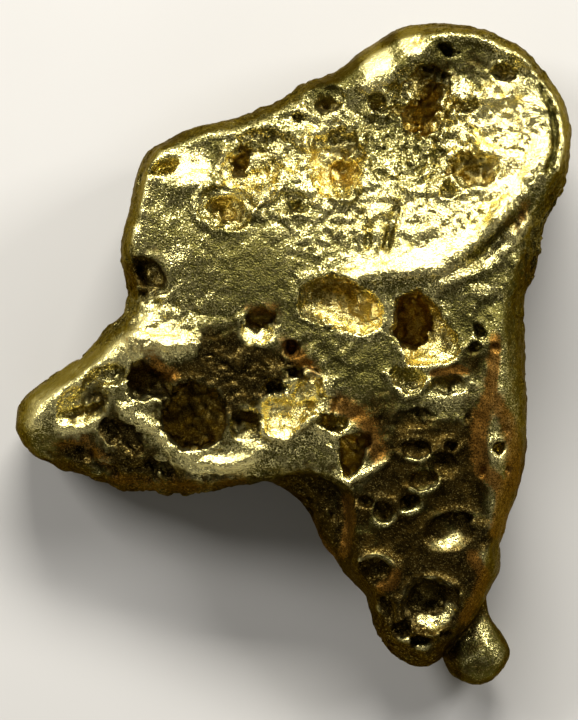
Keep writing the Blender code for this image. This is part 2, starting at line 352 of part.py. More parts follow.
def smooth_loop(points, steps=6):
    """A smooth closed curve through the points, as many short straight runs."""
    here = np.array(points, float)
    before, after, beyond = np.roll(here, 1, 0), np.roll(here, -1, 0), np.roll(here, -2, 0)
    runs = []
    for step in range(steps):
        t = step / steps
        bend = 2 * before - 5 * here + 4 * after - beyond
        twist = 3 * here - before - 3 * after + beyond
        runs.append(here + 0.5 * ((after - before) * t + bend * t ** 2 + twist * t ** 3))
    return np.stack(runs, 1).reshape(-1, 2)


def run_distance(x, y, start, end):
    """Distance from (x, y) to a straight run."""
    along = np.subtract(end, start)
    t = np.clip(((x - start[0]) * along[0] + (y - start[1]) * along[1]) / max(along @ along, 1e-12), 0, 1)
    return np.hypot(x - start[0] - t * along[0], y - start[1] - t * along[1])


def path_distance(x, y, points):
    """Distance from (x, y) to an open path."""
    return np.minimum.reduce([run_distance(x, y, a, b) for a, b in zip(points, points[1:])])


def loop_distance(x, y, loop):
    """Distance from (x, y) to a closed path, negative inside it."""
    x, y = np.broadcast_arrays(x, y)
    nearest = np.full(x.shape, np.inf)
    inside = np.zeros(x.shape, bool)
    for start, end in zip(loop, np.roll(loop, -1, 0)):
        nearest = np.minimum(nearest, run_distance(x, y, start, end))
        if start[1] != end[1]:
            crossing = start[0] + (end[0] - start[0]) * (y - start[1]) / (end[1] - start[1])
            inside ^= ((start[1] > y) != (end[1] > y)) & (x < crossing)
    return np.where(inside, -nearest, nearest)


def blended(x, y, spots, reach):
    """The mean of the values at the spots, those near (x, y) counting most."""
    x, y = np.broadcast_arrays(x, y)
    total = np.zeros(x.shape)
    weights = np.zeros(x.shape)
    for spot_x, spot_y, value in spots:
        weight = np.exp(-((x - spot_x) ** 2 + (y - spot_y) ** 2) / (2 * reach ** 2)) + 1e-9
        total += weight * value
        weights += weight
    return total / weights


def smooth_max(a, b, rounding):
    """The larger of two fields, with the crease between them rounded."""
    overlap = np.maximum(rounding - np.abs(a - b), 0) / rounding
    return np.maximum(a, b) + overlap * overlap * rounding / 4


def smooth_min(a, b, rounding):
    """The smaller of two fields, with the crease between them filled."""
    return -smooth_max(-a, -b, rounding)


def rounded_slab(edge, shoulder, z, waist, top, bottom):
    """Distance to a body between a lower and an upper face, rounded over towards its edge, more so below."""
    below = np.clip(0.5 + (waist - z) / WAIST_BLEND, 0, 1)
    shoulder = shoulder * (1 + (UNDER_SHOULDER - 1) * below)
    outward = np.maximum(edge + shoulder, 0) / shoulder
    half = np.where(z > waist, top - waist, waist - bottom)
    upward = np.abs(z - waist) / half
    level = np.hypot(outward, upward)
    slope = np.hypot(outward / shoulder, upward / half)
    return level * (level - 1) / np.maximum(slope, 1e-6)


class Plan:
    """The heights and the edge of the nugget at each place (x, y) of a flat grid."""

    def __init__(self, x, y):
        self.edge = loop_distance(x, y, smooth_loop(OUTLINE))
        self.web_edge = loop_distance(x, y, smooth_loop(WEB_OUTLINE))
        self.waist = blended(x, y, WAIST_SPOTS, WAIST_REACH)
        self.shoulder = blended(x, y, SHOULDER_SPOTS, SHOULDER_REACH)
        self.bottom = blended(x, y, BOTTOM_SPOTS, BOTTOM_REACH)
        for height, width, path in FOLDS:
            self.bottom -= height * np.exp(-(path_distance(x, y, path) / width) ** 2)
        self.top = blended(x, y, TOP_SPOTS, TOP_REACH)
        for height, width, path in RIDGES:
            self.top += height * np.exp(-(path_distance(x, y, path) / width) ** 2)
        for cavity_x, cavity_y, length, width, turn, *_, lip in CAVITIES:
            angle = math.radians(turn)
            along = (x - cavity_x) * math.cos(angle) + (y - cavity_y) * math.sin(angle)
            across = (y - cavity_y) * math.cos(angle) - (x - cavity_x) * math.sin(angle)
            self.raise_lip((np.hypot(along / length, across / width) - 1) * min(length, width), lip)
        for _, _, lip, mouth in ANGULAR_CAVITIES:
            self.raise_lip(loop_distance(x, y, smooth_loop(mouth, 3)), lip)
        self.crumble = blended(x, y, CRUMBLE_SPOTS, CRUMBLE_REACH)
        self.outward = np.clip((self.edge + self.shoulder) / self.shoulder, 0, STEEPEST_SHARE)
        self.upper_face = self.waist + (self.top - self.waist) * np.sqrt(1 - self.outward ** 2)

    def raise_lip(self, from_mouth, height):
        """Raises a low ring just outside a cavity's mouth."""
        self.top += height * np.exp(-((from_mouth / LIP_SPREAD - 0.5) ** 2))


class Block:
    """A block of space on an even grid, with the field of the nugget in it."""

    def __init__(self, cell):
        low = np.min(OUTLINE, 0) - MARGIN
        high = np.max(OUTLINE, 0) + MARGIN
        low[1] = BEAD[1] - BEAD[3] - MARGIN
        self.cell = cell
        self.axes = [np.arange(start, stop, cell, dtype=np.float32)
                     for start, stop in zip((*low, -MARGIN), (*high, HIGHEST))]
        self.x, self.y, self.z = self.axes
        self.plan = Plan(self.x[:, None], self.y[None, :])
        self.field = self.body()
        self.add_waves()
        self.uncut = self.field.copy()
        self.cut_cavities()
        self.crumble()
        self.wear_flat()

    def body(self):
        """The body, the web, and the bead with its horn, joined."""
        plan, z = self.plan, self.z
        edge, shoulder, waist, top, bottom, web_edge = [
            flat[..., None].astype(np.float32)
            for flat in (plan.edge, plan.shoulder, plan.waist, plan.top, plan.bottom, plan.web_edge)]
        slab = rounded_slab(edge, shoulder, z, waist, top, bottom)
        web = rounded_slab(web_edge, WEB_SHOULDER, z, (WEB_TOP + WEB_BOTTOM) / 2, WEB_TOP, WEB_BOTTOM)
        start, stop = np.array(BEAD[:3]), np.array(HORN_TIP[:3])
        offsets = [axis - c for axis, c in zip((self.x[:, None, None], self.y[None, :, None], z), start)]
        run = stop - start
        along = np.clip(sum(offset * part for offset, part in zip(offsets, run)) / (run @ run), 0, 1)
        nearest = np.sqrt(sum((offset - along * part) ** 2 for offset, part in zip(offsets, run)))
        tapered = along * along * (3 - 2 * along)
        bead = nearest - (BEAD[3] + (HORN_TIP[3] - BEAD[3]) * tapered)
        return smooth_min(smooth_min(slab, web, BODY_ROUNDING), bead, BODY_ROUNDING / 3).astype(np.float32)

    def above_waist(self, points, at):
        """0 below the widest level, 1 above it, and eased in between."""
        return np.clip((points[:, 2] - self.plan.waist[at[:2]]) / WAIST_BLEND + 0.5, 0, 1)

    def add_waves(self):
        """Swells and dips the surface, most on the underside."""
        near = np.abs(self.field) < NEAR_SURFACE
        at = np.nonzero(near)
        points = np.stack([axis[i] for axis, i in zip(self.axes, at)], -1)
        side = self.plan.outward[at[:2]] ** 2
        above = self.above_waist(points, at)
        change = np.zeros(len(points))
        for number, (wavelength, upper, middle, lower) in enumerate(LUMPS):
            height = side * middle + (1 - side) * (above * upper + (1 - above) * lower)
            change += height * waves(points, wavelength, corner_gradients(LUMP_SEED + number))
        fade = np.clip((NEAR_SURFACE - np.abs(self.field[near])) / (NEAR_SURFACE / 2), 0, 1)
        self.field[near] -= (change * fade).astype(np.float32)

    def crumble(self):
        """Roughens the surface in its crumbly places and inside the cavities."""
        near = np.abs(self.field) < NEAR_SURFACE / 2
        at = np.nonzero(near)
        points = np.stack([axis[i] for axis, i in zip(self.axes, at)], -1)
        above = self.above_waist(points, at)
        inside = np.clip(-self.uncut[near] / INSIDE_DEPTH, 0, 1)
        amount = above * self.plan.crumble[at[:2]] + (1 - above) * CRUMBLE_BELOW + inside * CRUMBLE_INSIDE
        change = 0.0
        for number, (wavelength, height) in enumerate(CRUMBS):
            wave = waves(points, wavelength, corner_gradients(CRUMB_SEED + number))
            change += height * (np.abs(wave) * 2 - CRUMB_MEAN)
        fade = np.clip((NEAR_SURFACE / 2 - np.abs(self.field[near])) / (NEAR_SURFACE / 4), 0, 1)
        self.field[near] -= (amount * change * fade).astype(np.float32)

    def at(self, x, y):
        """The place of (x, y) in the plan's grids."""
        return int(round((x - self.x[0]) / self.cell)), int(round((y - self.y[0]) / self.cell))

    def outward(self, x, y, step=0.3):
        """The direction out of the upper face at (x, y), half way to straight up."""
        face = self.plan.upper_face
        slope_x = (face[self.at(x + step, y)] - face[self.at(x - step, y)]) / (2 * step)
        slope_y = (face[self.at(x, y + step)] - face[self.at(x, y - step)]) / (2 * step)
        normal = np.array((-slope_x / 2, -slope_y / 2, 1.0))
        return normal / np.linalg.norm(normal)

    def box(self, low, high):
        """The part of the grid between two corners, and its points, each shifted a little at random."""
        part = tuple(slice(*np.searchsorted(axis, (a, b))) for axis, a, b in zip(self.axes, low, high))
        points = np.stack(np.meshgrid(*[axis[cut] for axis, cut in zip(self.axes, part)], indexing="ij"), -1)
        shift = np.zeros_like(points)
        for number, (wavelength, reach) in enumerate(CAVITY_WANDER):
            for axis in range(3):
                gradients = corner_gradients(WANDER_SEED + 3 * number + axis)
                shift[..., axis] += reach * waves(points, wavelength, gradients)
        return part, points, shift

    def dig(self, centre, normal, length, width, turn, depth, bulge):
        """Takes an egg-shaped cavity out, its mouth at the centre and facing along the normal."""
        reach = max(length, width, depth) * EGG_REACH + EGG_EDGE
        part, points, shift = self.box(centre - reach, centre + reach)
        roughness = self.plan.crumble[self.at(*centre[:2])]
        place = points - centre + shift * min(1.0, width / WANDER_WIDTH) * (LEAST_WANDER + roughness)
        start = np.array((0.0, 0.0, 1.0) if abs(normal[0]) > 0.8 else (1.0, 0.0, 0.0))
        start -= normal * (normal @ start)
        start /= np.linalg.norm(start)
        side = np.cross(normal, start)
        angle = math.radians(turn)
        long_way = math.cos(angle) * start + math.sin(angle) * side
        wide_way = math.cos(angle) * side - math.sin(angle) * start
        half = depth / (1 + bulge)
        widening = 1 / math.sqrt(1 - bulge ** 2)
        sizes = np.array((length * widening, width * widening, half))
        local = np.stack([place @ long_way, place @ wide_way, place @ normal + bulge * half], -1) / sizes
        level = np.linalg.norm(local, axis=-1)
        distance = level * (level - 1) / np.maximum(np.linalg.norm(local / sizes, axis=-1), 1e-6)
        self.field[part] = smooth_max(self.field[part], -distance.astype(np.float32), LIP_ROUNDING)

    def dig_angular(self, depth, slope, mouth):
        """Takes out a cavity with steep walls below the mouth's outline, and a sloping floor."""
        x, y = np.mean(mouth, 0)
        level = self.plan.upper_face[self.at(x, y)]
        low = (*(np.min(mouth, 0) - ANGULAR_REACH), level - depth - 2 * ANGULAR_REACH)
        high = (*(np.max(mouth, 0) + ANGULAR_REACH), HIGHEST)
        part, points, shift = self.box(low, high)
        points += shift * ANGULAR_WANDER
        wall = loop_distance(points[..., 0], points[..., 1], smooth_loop(mouth, 2))
        floor = level - depth + slope[0] * (points[..., 0] - x) + slope[1] * (points[..., 1] - y)
        distance = smooth_max(wall, floor - points[..., 2], FLOOR_ROUNDING)
        self.field[part] = smooth_max(self.field[part], -distance.astype(np.float32), LIP_ROUNDING)

    def cut_cavities(self):
        """Takes out every cavity."""
        for x, y, *shape, _ in CAVITIES:
            self.dig(np.array((x, y, self.plan.upper_face[self.at(x, y)])), self.outward(x, y), *shape)
        for depth, slope, _, mouth in ANGULAR_CAVITIES:
            self.dig_angular(depth, slope, mouth)
        for x, y, z, *shape in HIDDEN_CAVITIES:
            spot, normal = self.on_surface(*self.at(x, y), int(round((z - self.z[0]) / self.cell)))
            self.dig(spot, normal, *shape)

    def on_surface(self, i, j, k, reach=3):
        """The point of the uncut surface nearest to a grid point close to it, and the direction out of it."""
        around = self.uncut[i - reach:i + reach + 1, j - reach:j + reach + 1, k - reach:k + reach + 1]
        normal = np.array([around[-1].mean() - around[0].mean(), around[:, -1].mean() - around[:, 0].mean(),
                           around[..., -1].mean() - around[..., 0].mean()])
        normal /= np.linalg.norm(normal)
        return np.array((self.x[i], self.y[j], self.z[k])) - normal * self.uncut[i, j, k], normal

    def wear_flat(self):
        """Takes off what lies below z = 0."""
        self.field = np.maximum(self.field, -self.z)

    def surface(self):
        """Points and four-sided faces of the surface, without closed bubbles and loose crumbs."""
        grid = openvdb.FloatGrid(1.0)
        grid.copyFromArray(self.field)
        points, quads = grid.convertToQuads(isovalue=0.0)
        label = np.arange(len(points))
        edges = np.concatenate([quads[:, [i, (i + 1) % 4]] for i in range(4)]).astype(np.int64)
        while True:
            lowest = np.minimum(label[edges[:, 0]], label[edges[:, 1]])
            joined = label.copy()
            np.minimum.at(joined, edges[:, 0], lowest)
            np.minimum.at(joined, edges[:, 1], lowest)
            joined = joined[joined]
            if (joined == label).all():
                break
            label = joined
        names, counts = np.unique(label, return_counts=True)
        kept = label == names[np.argmax(counts)]
        number = np.cumsum(kept) - 1
        quads = number[quads[kept[quads[:, 0]]]]
        points = points[kept] * self.cell + np.array([axis[0] for axis in self.axes])
        return points, quads


def clear_scene():
    """Removes every object."""
    for obj in list(bpy.data.objects):
        bpy.data.objects.remove(obj, do_unlink=True)


def gold():
    """Native gold, dull from wear."""
    material = bpy.data.materials.new("gold")
    material.use_nodes = True
    shader = material.node_tree.nodes["Principled BSDF"]
    shader.inputs["Base Color"].default_value = GOLD_COLOUR
    shader.inputs["Metallic"].default_value = 1.0
    shader.inputs["Roughness"].default_value = GOLD_ROUGHNESS
    material.diffuse_color = GOLD_COLOUR
    return material


def nugget():
    """The whole nugget, thinned to a few thousand triangles, standing on its worn pads at z = 0."""
    points, quads = Block(CELL).surface()
    points[:, :2] -= PLAN_CENTRE
    mesh = bpy.data.meshes.new("fine")
    mesh.from_pydata((points * MM).tolist(), [], quads.tolist())
    fine = bpy.data.objects.new("fine", mesh)
    bpy.context.scene.collection.objects.link(fine)
    thin = fine.modifiers.new("thin", "DECIMATE")
    thin.ratio = TRIANGLES / (2 * len(quads))
    thinned = bpy.data.meshes.new_from_object(fine.evaluated_get(bpy.context.evaluated_depsgraph_get()))
    bpy.data.objects.remove(fine, do_unlink=True)
    work = bmesh.new()
    work.from_mesh(thinned)
    for vertex in work.verts:
        if vertex.co.z < PAD_LEVEL * MM:
            vertex.co.z = 0.0
    bmesh.ops.triangulate(work, faces=work.faces)
    bmesh.ops.recalc_face_normals(work, faces=work.faces)
    work.to_mesh(thinned)
    work.free()
    thinned.name = "nugget"
    thinned.shade_smooth()
    thinned.materials.append(gold())
    piece = bpy.data.objects.new("nugget", thinned)
    bpy.context.scene.collection.objects.link(piece)
    return piece


clear_scene()
nugget()
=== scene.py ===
"""The finish of a worn gold nugget that lies on its back on a pale floor, its pitted face up.

The nugget's surface is drawn again, far finer, through the same field of signed distances in millimetres
that its solid is made from, with its small pits added, and takes the place of the solid.
+X runs to the right of the pitted face, +Y to its head, and +Z up out of it.
"""

import math

import bpy
import numpy as np
import openvdb
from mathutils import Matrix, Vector


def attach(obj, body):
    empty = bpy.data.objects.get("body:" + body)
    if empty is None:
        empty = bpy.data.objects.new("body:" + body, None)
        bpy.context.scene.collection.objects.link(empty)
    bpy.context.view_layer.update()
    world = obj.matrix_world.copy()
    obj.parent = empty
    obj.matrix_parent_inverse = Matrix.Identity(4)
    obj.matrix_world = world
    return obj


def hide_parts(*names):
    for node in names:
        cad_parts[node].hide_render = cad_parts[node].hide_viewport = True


# Sizes in millimetres.
MM = 0.001
CELL = 0.042
MARGIN = 0.45
HIGHEST = 4.6
TRIANGLES = 196000
PLAN_CENTRE = (-0.138, -0.088)

# Waves of the worn surface: wavelength, and height on the upper face, at the widest level, and underneath.
LUMPS = [(2.6, 0.06, 0.05, 0.2), (1.15, 0.06, 0.06, 0.11), (0.5, 0.03, 0.03, 0.04)]
# Crumbs where the surface is rough: wavelength and height.
CRUMBS = [(0.42, 0.15), (0.21, 0.13), (0.11, 0.08)]
# How the cavities' walls wander: wavelength and reach.
CAVITY_WANDER = [(0.75, 0.2), (0.3, 0.15), (0.14, 0.07)]

# The view: straight down with a long lens, on pixels that are PIXEL wide at VIEW_LEVEL.
FRAME_PIXELS = (578, 720)
PIXEL = 0.02
VIEW_CENTRE_PIXEL = (289, 360)
ORIGIN_PIXEL = (300, 350)
CAMERA_HEIGHT = 260.0
VIEW_LEVEL = 3.2
SENSOR_HEIGHT = 24.0
CLIP_START, CLIP_END = 1, 2000

# Soft lights: name, place, the point they are aimed at, size, power in watts, and colour.
LIGHTS = [
    ("key", (5, 84, 62), (0, 1, 2), (56, 22), 0.136, (1.0, 0.97, 0.9)),
    ("left", (-66, 44, 60), (0, 0, 2), (34, 22), 0.05, (1.0, 0.98, 0.94)),
    ("right", (70, 36, 60), (0, 0, 2), (30, 22), 0.042, (1.0, 0.98, 0.94)),
    ("near", (-8, -80, 66), (0, 0, 2), (56, 22), 0.006, (1.0, 0.98, 0.94)),
]
SURROUND_COLOUR = (1.0, 0.94, 0.78, 1)
SURROUND_STRENGTH = 0.065

# The floor's width, and its paper's two tones.
FLOOR_WIDTH = 600
PAPER = (0.6, 0.59, 0.575, 1), (0.64, 0.63, 0.615, 1)

# Colours of the gold, dull and bright, with painted light in them: on the face, whose ends also stand for
# painted shade and painted highlight; on steep places, darker as painted shade; in hollows, amber partly for
# iron stain and partly as painted warm reflection; and in deep ones, darker still as painted shade.
FACE_GOLD = (0.112, 0.099, 0.024, 1), (1.0, 0.885, 0.37, 1)
SHADED_STEEP_GOLD = (0.014, 0.011, 0.003, 1), (0.17, 0.135, 0.036, 1)
HOLLOW_AMBER_AND_REFLECTION = (0.4, 0.28, 0.045, 1), (1.0, 0.8, 0.26, 1)
DEEP_AMBER_AND_SHADE = (0.35, 0.225, 0.028, 1), (0.62, 0.43, 0.08, 1)
# Colours of the brown stain, dark and pale, of the gold that glints through it, and of the rust.
BROWN_EARTH = (0.013, 0.007, 0.001, 1), (0.058, 0.034, 0.005, 1)
STAINED_GLINT = (0.46, 0.34, 0.09, 1)
RUSTY_EARTH = (0.066, 0.031, 0.005, 1), (0.3, 0.145, 0.024, 1)
GOLD_TINT = (0.62, 0.5, 0.24, 1)

# The outline seen from above, clockwise from the top of the head.
OUTLINE = [
    (2.36, 6.52), (2.95, 6.55), (3.5, 6.48), (4.1, 6.26), (4.58, 5.97), (4.9, 5.56), (5.2, 5.14),
    (5.4, 4.64), (5.46, 4.14), (5.38, 3.56), (5.14, 2.96), (4.9, 2.5), (4.8, 2.0), (4.68, 1.44), (4.5, 1.0),
    (4.5, 0.3), (4.55, -0.6), (4.56, -1.4), (4.52, -2.1), (4.4, -2.8), (4.22, -3.4), (4.1, -3.9),
    (4.06, -4.45), (3.86, -4.82), (3.62, -5.24), (3.36, -5.64), (3.08, -5.92), (2.9, -6.16), (2.62, -6.37),
    (2.24, -6.34), (1.88, -6.14), (1.6, -5.8), (1.42, -5.36), (1.32, -4.96), (1.14, -4.62), (0.98, -4.3),
    (0.94, -3.8), (0.92, -3.3), (0.86, -2.9), (0.56, -2.66), (0.04, -2.56), (-0.44, -2.62), (-1.0, -2.74),
    (-1.7, -2.84), (-2.4, -2.94), (-3.0, -2.84), (-3.6, -2.82), (-4.04, -2.62), (-4.56, -2.44),
    (-5.04, -2.28), (-5.44, -2.04), (-5.68, -1.7), (-5.72, -1.3), (-5.56, -0.96), (-5.2, -0.66),
    (-4.7, -0.32), (-4.36, -0.08), (-4.12, 0.2), (-3.88, 0.48), (-3.6, 0.7), (-3.47, 0.98), (-3.5, 1.4),
    (-3.6, 1.84), (-3.58, 2.3), (-3.44, 2.8), (-3.36, 3.2), (-3.26, 3.64), (-3.06, 4.0), (-2.7, 4.24),
    (-2.2, 4.48), (-1.6, 4.62), (-1.04, 4.76), (-0.5, 4.98), (-0.16, 5.16), (0.08, 5.36), (0.5, 5.5),
    (0.84, 5.7), (1.12, 5.96), (1.5, 6.2), (1.9, 6.42),
]

# The web of gold between the tongue and the leg, lower than both.
WEB_OUTLINE = [
    (-0.6, -2.1), (-0.55, -2.55), (-0.24, -2.84), (0.0, -3.02), (0.2, -3.36), (0.38, -3.8), (0.62, -4.1),
    (0.92, -4.45), (1.3, -4.7), (1.6, -4.2), (1.5, -3.0), (0.6, -2.0),
]
WEB_TOP, WEB_BOTTOM, WEB_SHOULDER = 2.15, 0.55, 0.45

# The bead behind the foot of the leg, and the horn that it tapers up into: x, y, z, radius.
BEAD = (3.55, -6.06, 1.0, 0.7)
HORN_TIP = (3.68, -5.1, 1.35, 0.12)

# Heights of the upper face at spots on it: x, y, z.
TOP_SPOTS = [
    (2.0, 6.0, 3.6), (3.0, 6.1, 3.62), (4.0, 5.9, 3.64), (0.2, 5.0, 3.35), (1.0, 5.0, 3.42),
    (2.0, 5.2, 3.42), (3.0, 5.3, 3.36), (4.0, 5.2, 3.42), (4.9, 5.0, 3.64), (-2.6, 4.0, 3.2),
    (-1.6, 4.0, 3.35), (-0.4, 4.0, 3.46), (0.8, 4.2, 3.52), (2.0, 4.3, 3.54), (3.2, 4.4, 3.44),
    (4.2, 4.2, 3.62), (5.1, 4.0, 3.74), (-3.1, 3.0, 3.25), (-2.0, 3.0, 3.55), (-0.6, 3.0, 3.68),
    (0.8, 3.0, 3.76), (2.2, 3.2, 3.8), (3.2, 3.3, 3.78), (4.2, 3.3, 3.88), (5.0, 3.1, 3.66),
    (-3.2, 2.0, 3.3), (-2.0, 2.0, 3.72), (-0.6, 2.0, 3.86), (0.8, 2.0, 3.92), (2.0, 2.2, 4.0),
    (2.9, 2.3, 3.98), (3.8, 2.1, 3.76), (4.5, 2.0, 3.36), (-3.1, 1.0, 3.02), (-2.2, 1.0, 3.55),
    (-0.8, 1.0, 3.8), (0.8, 1.1, 3.88), (2.2, 1.2, 3.84), (3.4, 1.0, 3.66), (4.2, 1.0, 3.3),
    (-3.9, 0.0, 2.95), (-3.0, 0.2, 3.44), (-2.0, 0.0, 3.48), (-0.8, 0.0, 3.62), (0.6, 0.0, 3.76),
    (2.0, 0.0, 3.76), (3.2, 0.0, 3.62), (4.2, 0.0, 3.36), (-5.2, -1.0, 2.66), (-4.2, -1.0, 2.72),
    (-3.2, -1.0, 3.04), (-2.0, -0.8, 3.24), (-0.8, -1.0, 3.36), (0.6, -1.0, 3.56), (2.0, -1.0, 3.6),
    (3.3, -1.2, 3.46), (4.3, -1.0, 3.36), (-5.2, -2.0, 2.2), (-4.2, -2.0, 2.4), (-3.2, -2.1, 2.62),
    (-2.2, -2.3, 2.8), (-1.2, -2.2, 3.02), (0.0, -2.0, 3.28), (1.0, -2.0, 3.38), (2.2, -2.0, 3.34),
    (3.3, -2.2, 3.22), (4.2, -2.0, 3.28), (-3.0, -2.8, 2.3), (-1.4, -2.8, 2.5), (0.0, -2.7, 2.7),
    (1.0, -3.0, 3.06), (2.2, -3.0, 3.12), (3.2, -3.0, 3.06), (4.1, -3.0, 3.1), (1.2, -4.0, 2.8),
    (2.2, -4.0, 2.9), (3.2, -4.0, 2.9), (4.0, -4.0, 2.84), (1.5, -5.0, 2.5), (2.4, -5.0, 2.66),
    (3.3, -5.0, 2.62), (1.9, -5.7, 2.2), (2.6, -6.0, 2.14), (3.1, -5.8, 2.2),
]
TOP_REACH = 0.62

# Heights of the underside. Below zero it is worn flat, which makes the three pads it lies on.
BOTTOM_SPOTS = [
    (3.1, 4.2, -0.2), (3.6, 1.8, 0.62), (0.8, 4.0, 0.35), (-2.2, 3.0, 0.4), (-0.2, 1.6, 0.85),
    (-3.9, -1.4, -0.2), (-2.2, 0.4, 0.36), (-1.8, -1.9, 0.55), (1.2, 0.2, 0.45), (3.6, -0.6, 0.38),
    (2.6, -2.0, 0.7), (2.9, -4.1, -0.2), (2.3, -5.6, 0.6), (5.0, 2.8, 0.5), (1.6, 5.6, 0.6),
    (4.6, 5.2, 0.5), (0.4, -2.2, 0.65), (1.6, 2.4, 0.55), (-1.0, -0.6, 0.75),
]
BOTTOM_REACH = 0.8

# Swells and folds of the underside: height downwards, width, and the points they run through.
FOLDS = [
    (0.22, 0.5, [(-2.6, 3.4), (-1.6, 2.2), (-1.9, 0.9), (-2.6, 0.0)]),
    (-0.26, 0.28, [(-3.0, 1.6), (-2.0, 1.5), (-1.0, 2.4), (-0.6, 3.6)]),
    (0.2, 0.45, [(0.6, 4.6), (0.9, 3.2), (0.6, 2.0), (1.4, 0.6)]),
    (-0.24, 0.3, [(1.9, 3.2), (2.4, 1.8), (2.2, 0.6), (2.8, -0.6), (2.4, -1.8)]),
    (0.18, 0.4, [(3.9, 1.4), (3.6, 0.0), (3.7, -1.4), (3.5, -2.6)]),
    (-0.22, 0.26, [(-2.4, -1.2), (-1.4, -0.9), (-0.4, -1.4), (0.4, -1.0)]),
]

# Height of the widest level, and how far in from the outline the edge is rounded over: x, y, value.
WAIST_SPOTS = [
    (3.4, 4.8, 1.95), (-2.4, 3.0, 1.85), (0.0, 1.0, 1.8), (-4.6, -1.4, 1.45), (3.0, -1.0, 1.75),
    (2.4, -5.4, 1.3),
]
SHOULDER_SPOTS = [
    (1.0, 5.7, 0.3), (1.6, 6.0, 0.28), (2.3, 6.4, 0.28), (3.1, 6.4, 0.28), (4.8, 5.4, 0.3), (5.3, 4.0, 0.3),
    (5.0, 2.8, 0.46), (4.6, 1.6, 0.52), (4.4, 0.0, 0.46), (4.4, -1.6, 0.5), (4.2, -3.4, 0.5),
    (3.7, -4.8, 0.6), (2.4, -6.2, 0.65), (1.4, -5.4, 0.6), (1.0, -4.2, 0.3), (0.2, -2.6, 0.22),
    (-1.4, -2.8, 0.6), (-3.6, -2.8, 0.85), (-5.2, -2.0, 0.85), (-5.3, -0.9, 0.44), (-4.2, 0.0, 0.4),
    (-3.4, 1.0, 0.5), (-3.4, 2.6, 0.38), (-2.8, 4.0, 0.4), (-1.4, 4.6, 0.4), (0.2, 5.2, 0.36),
]
WAIST_REACH, SHOULDER_REACH = 1.6, 0.7

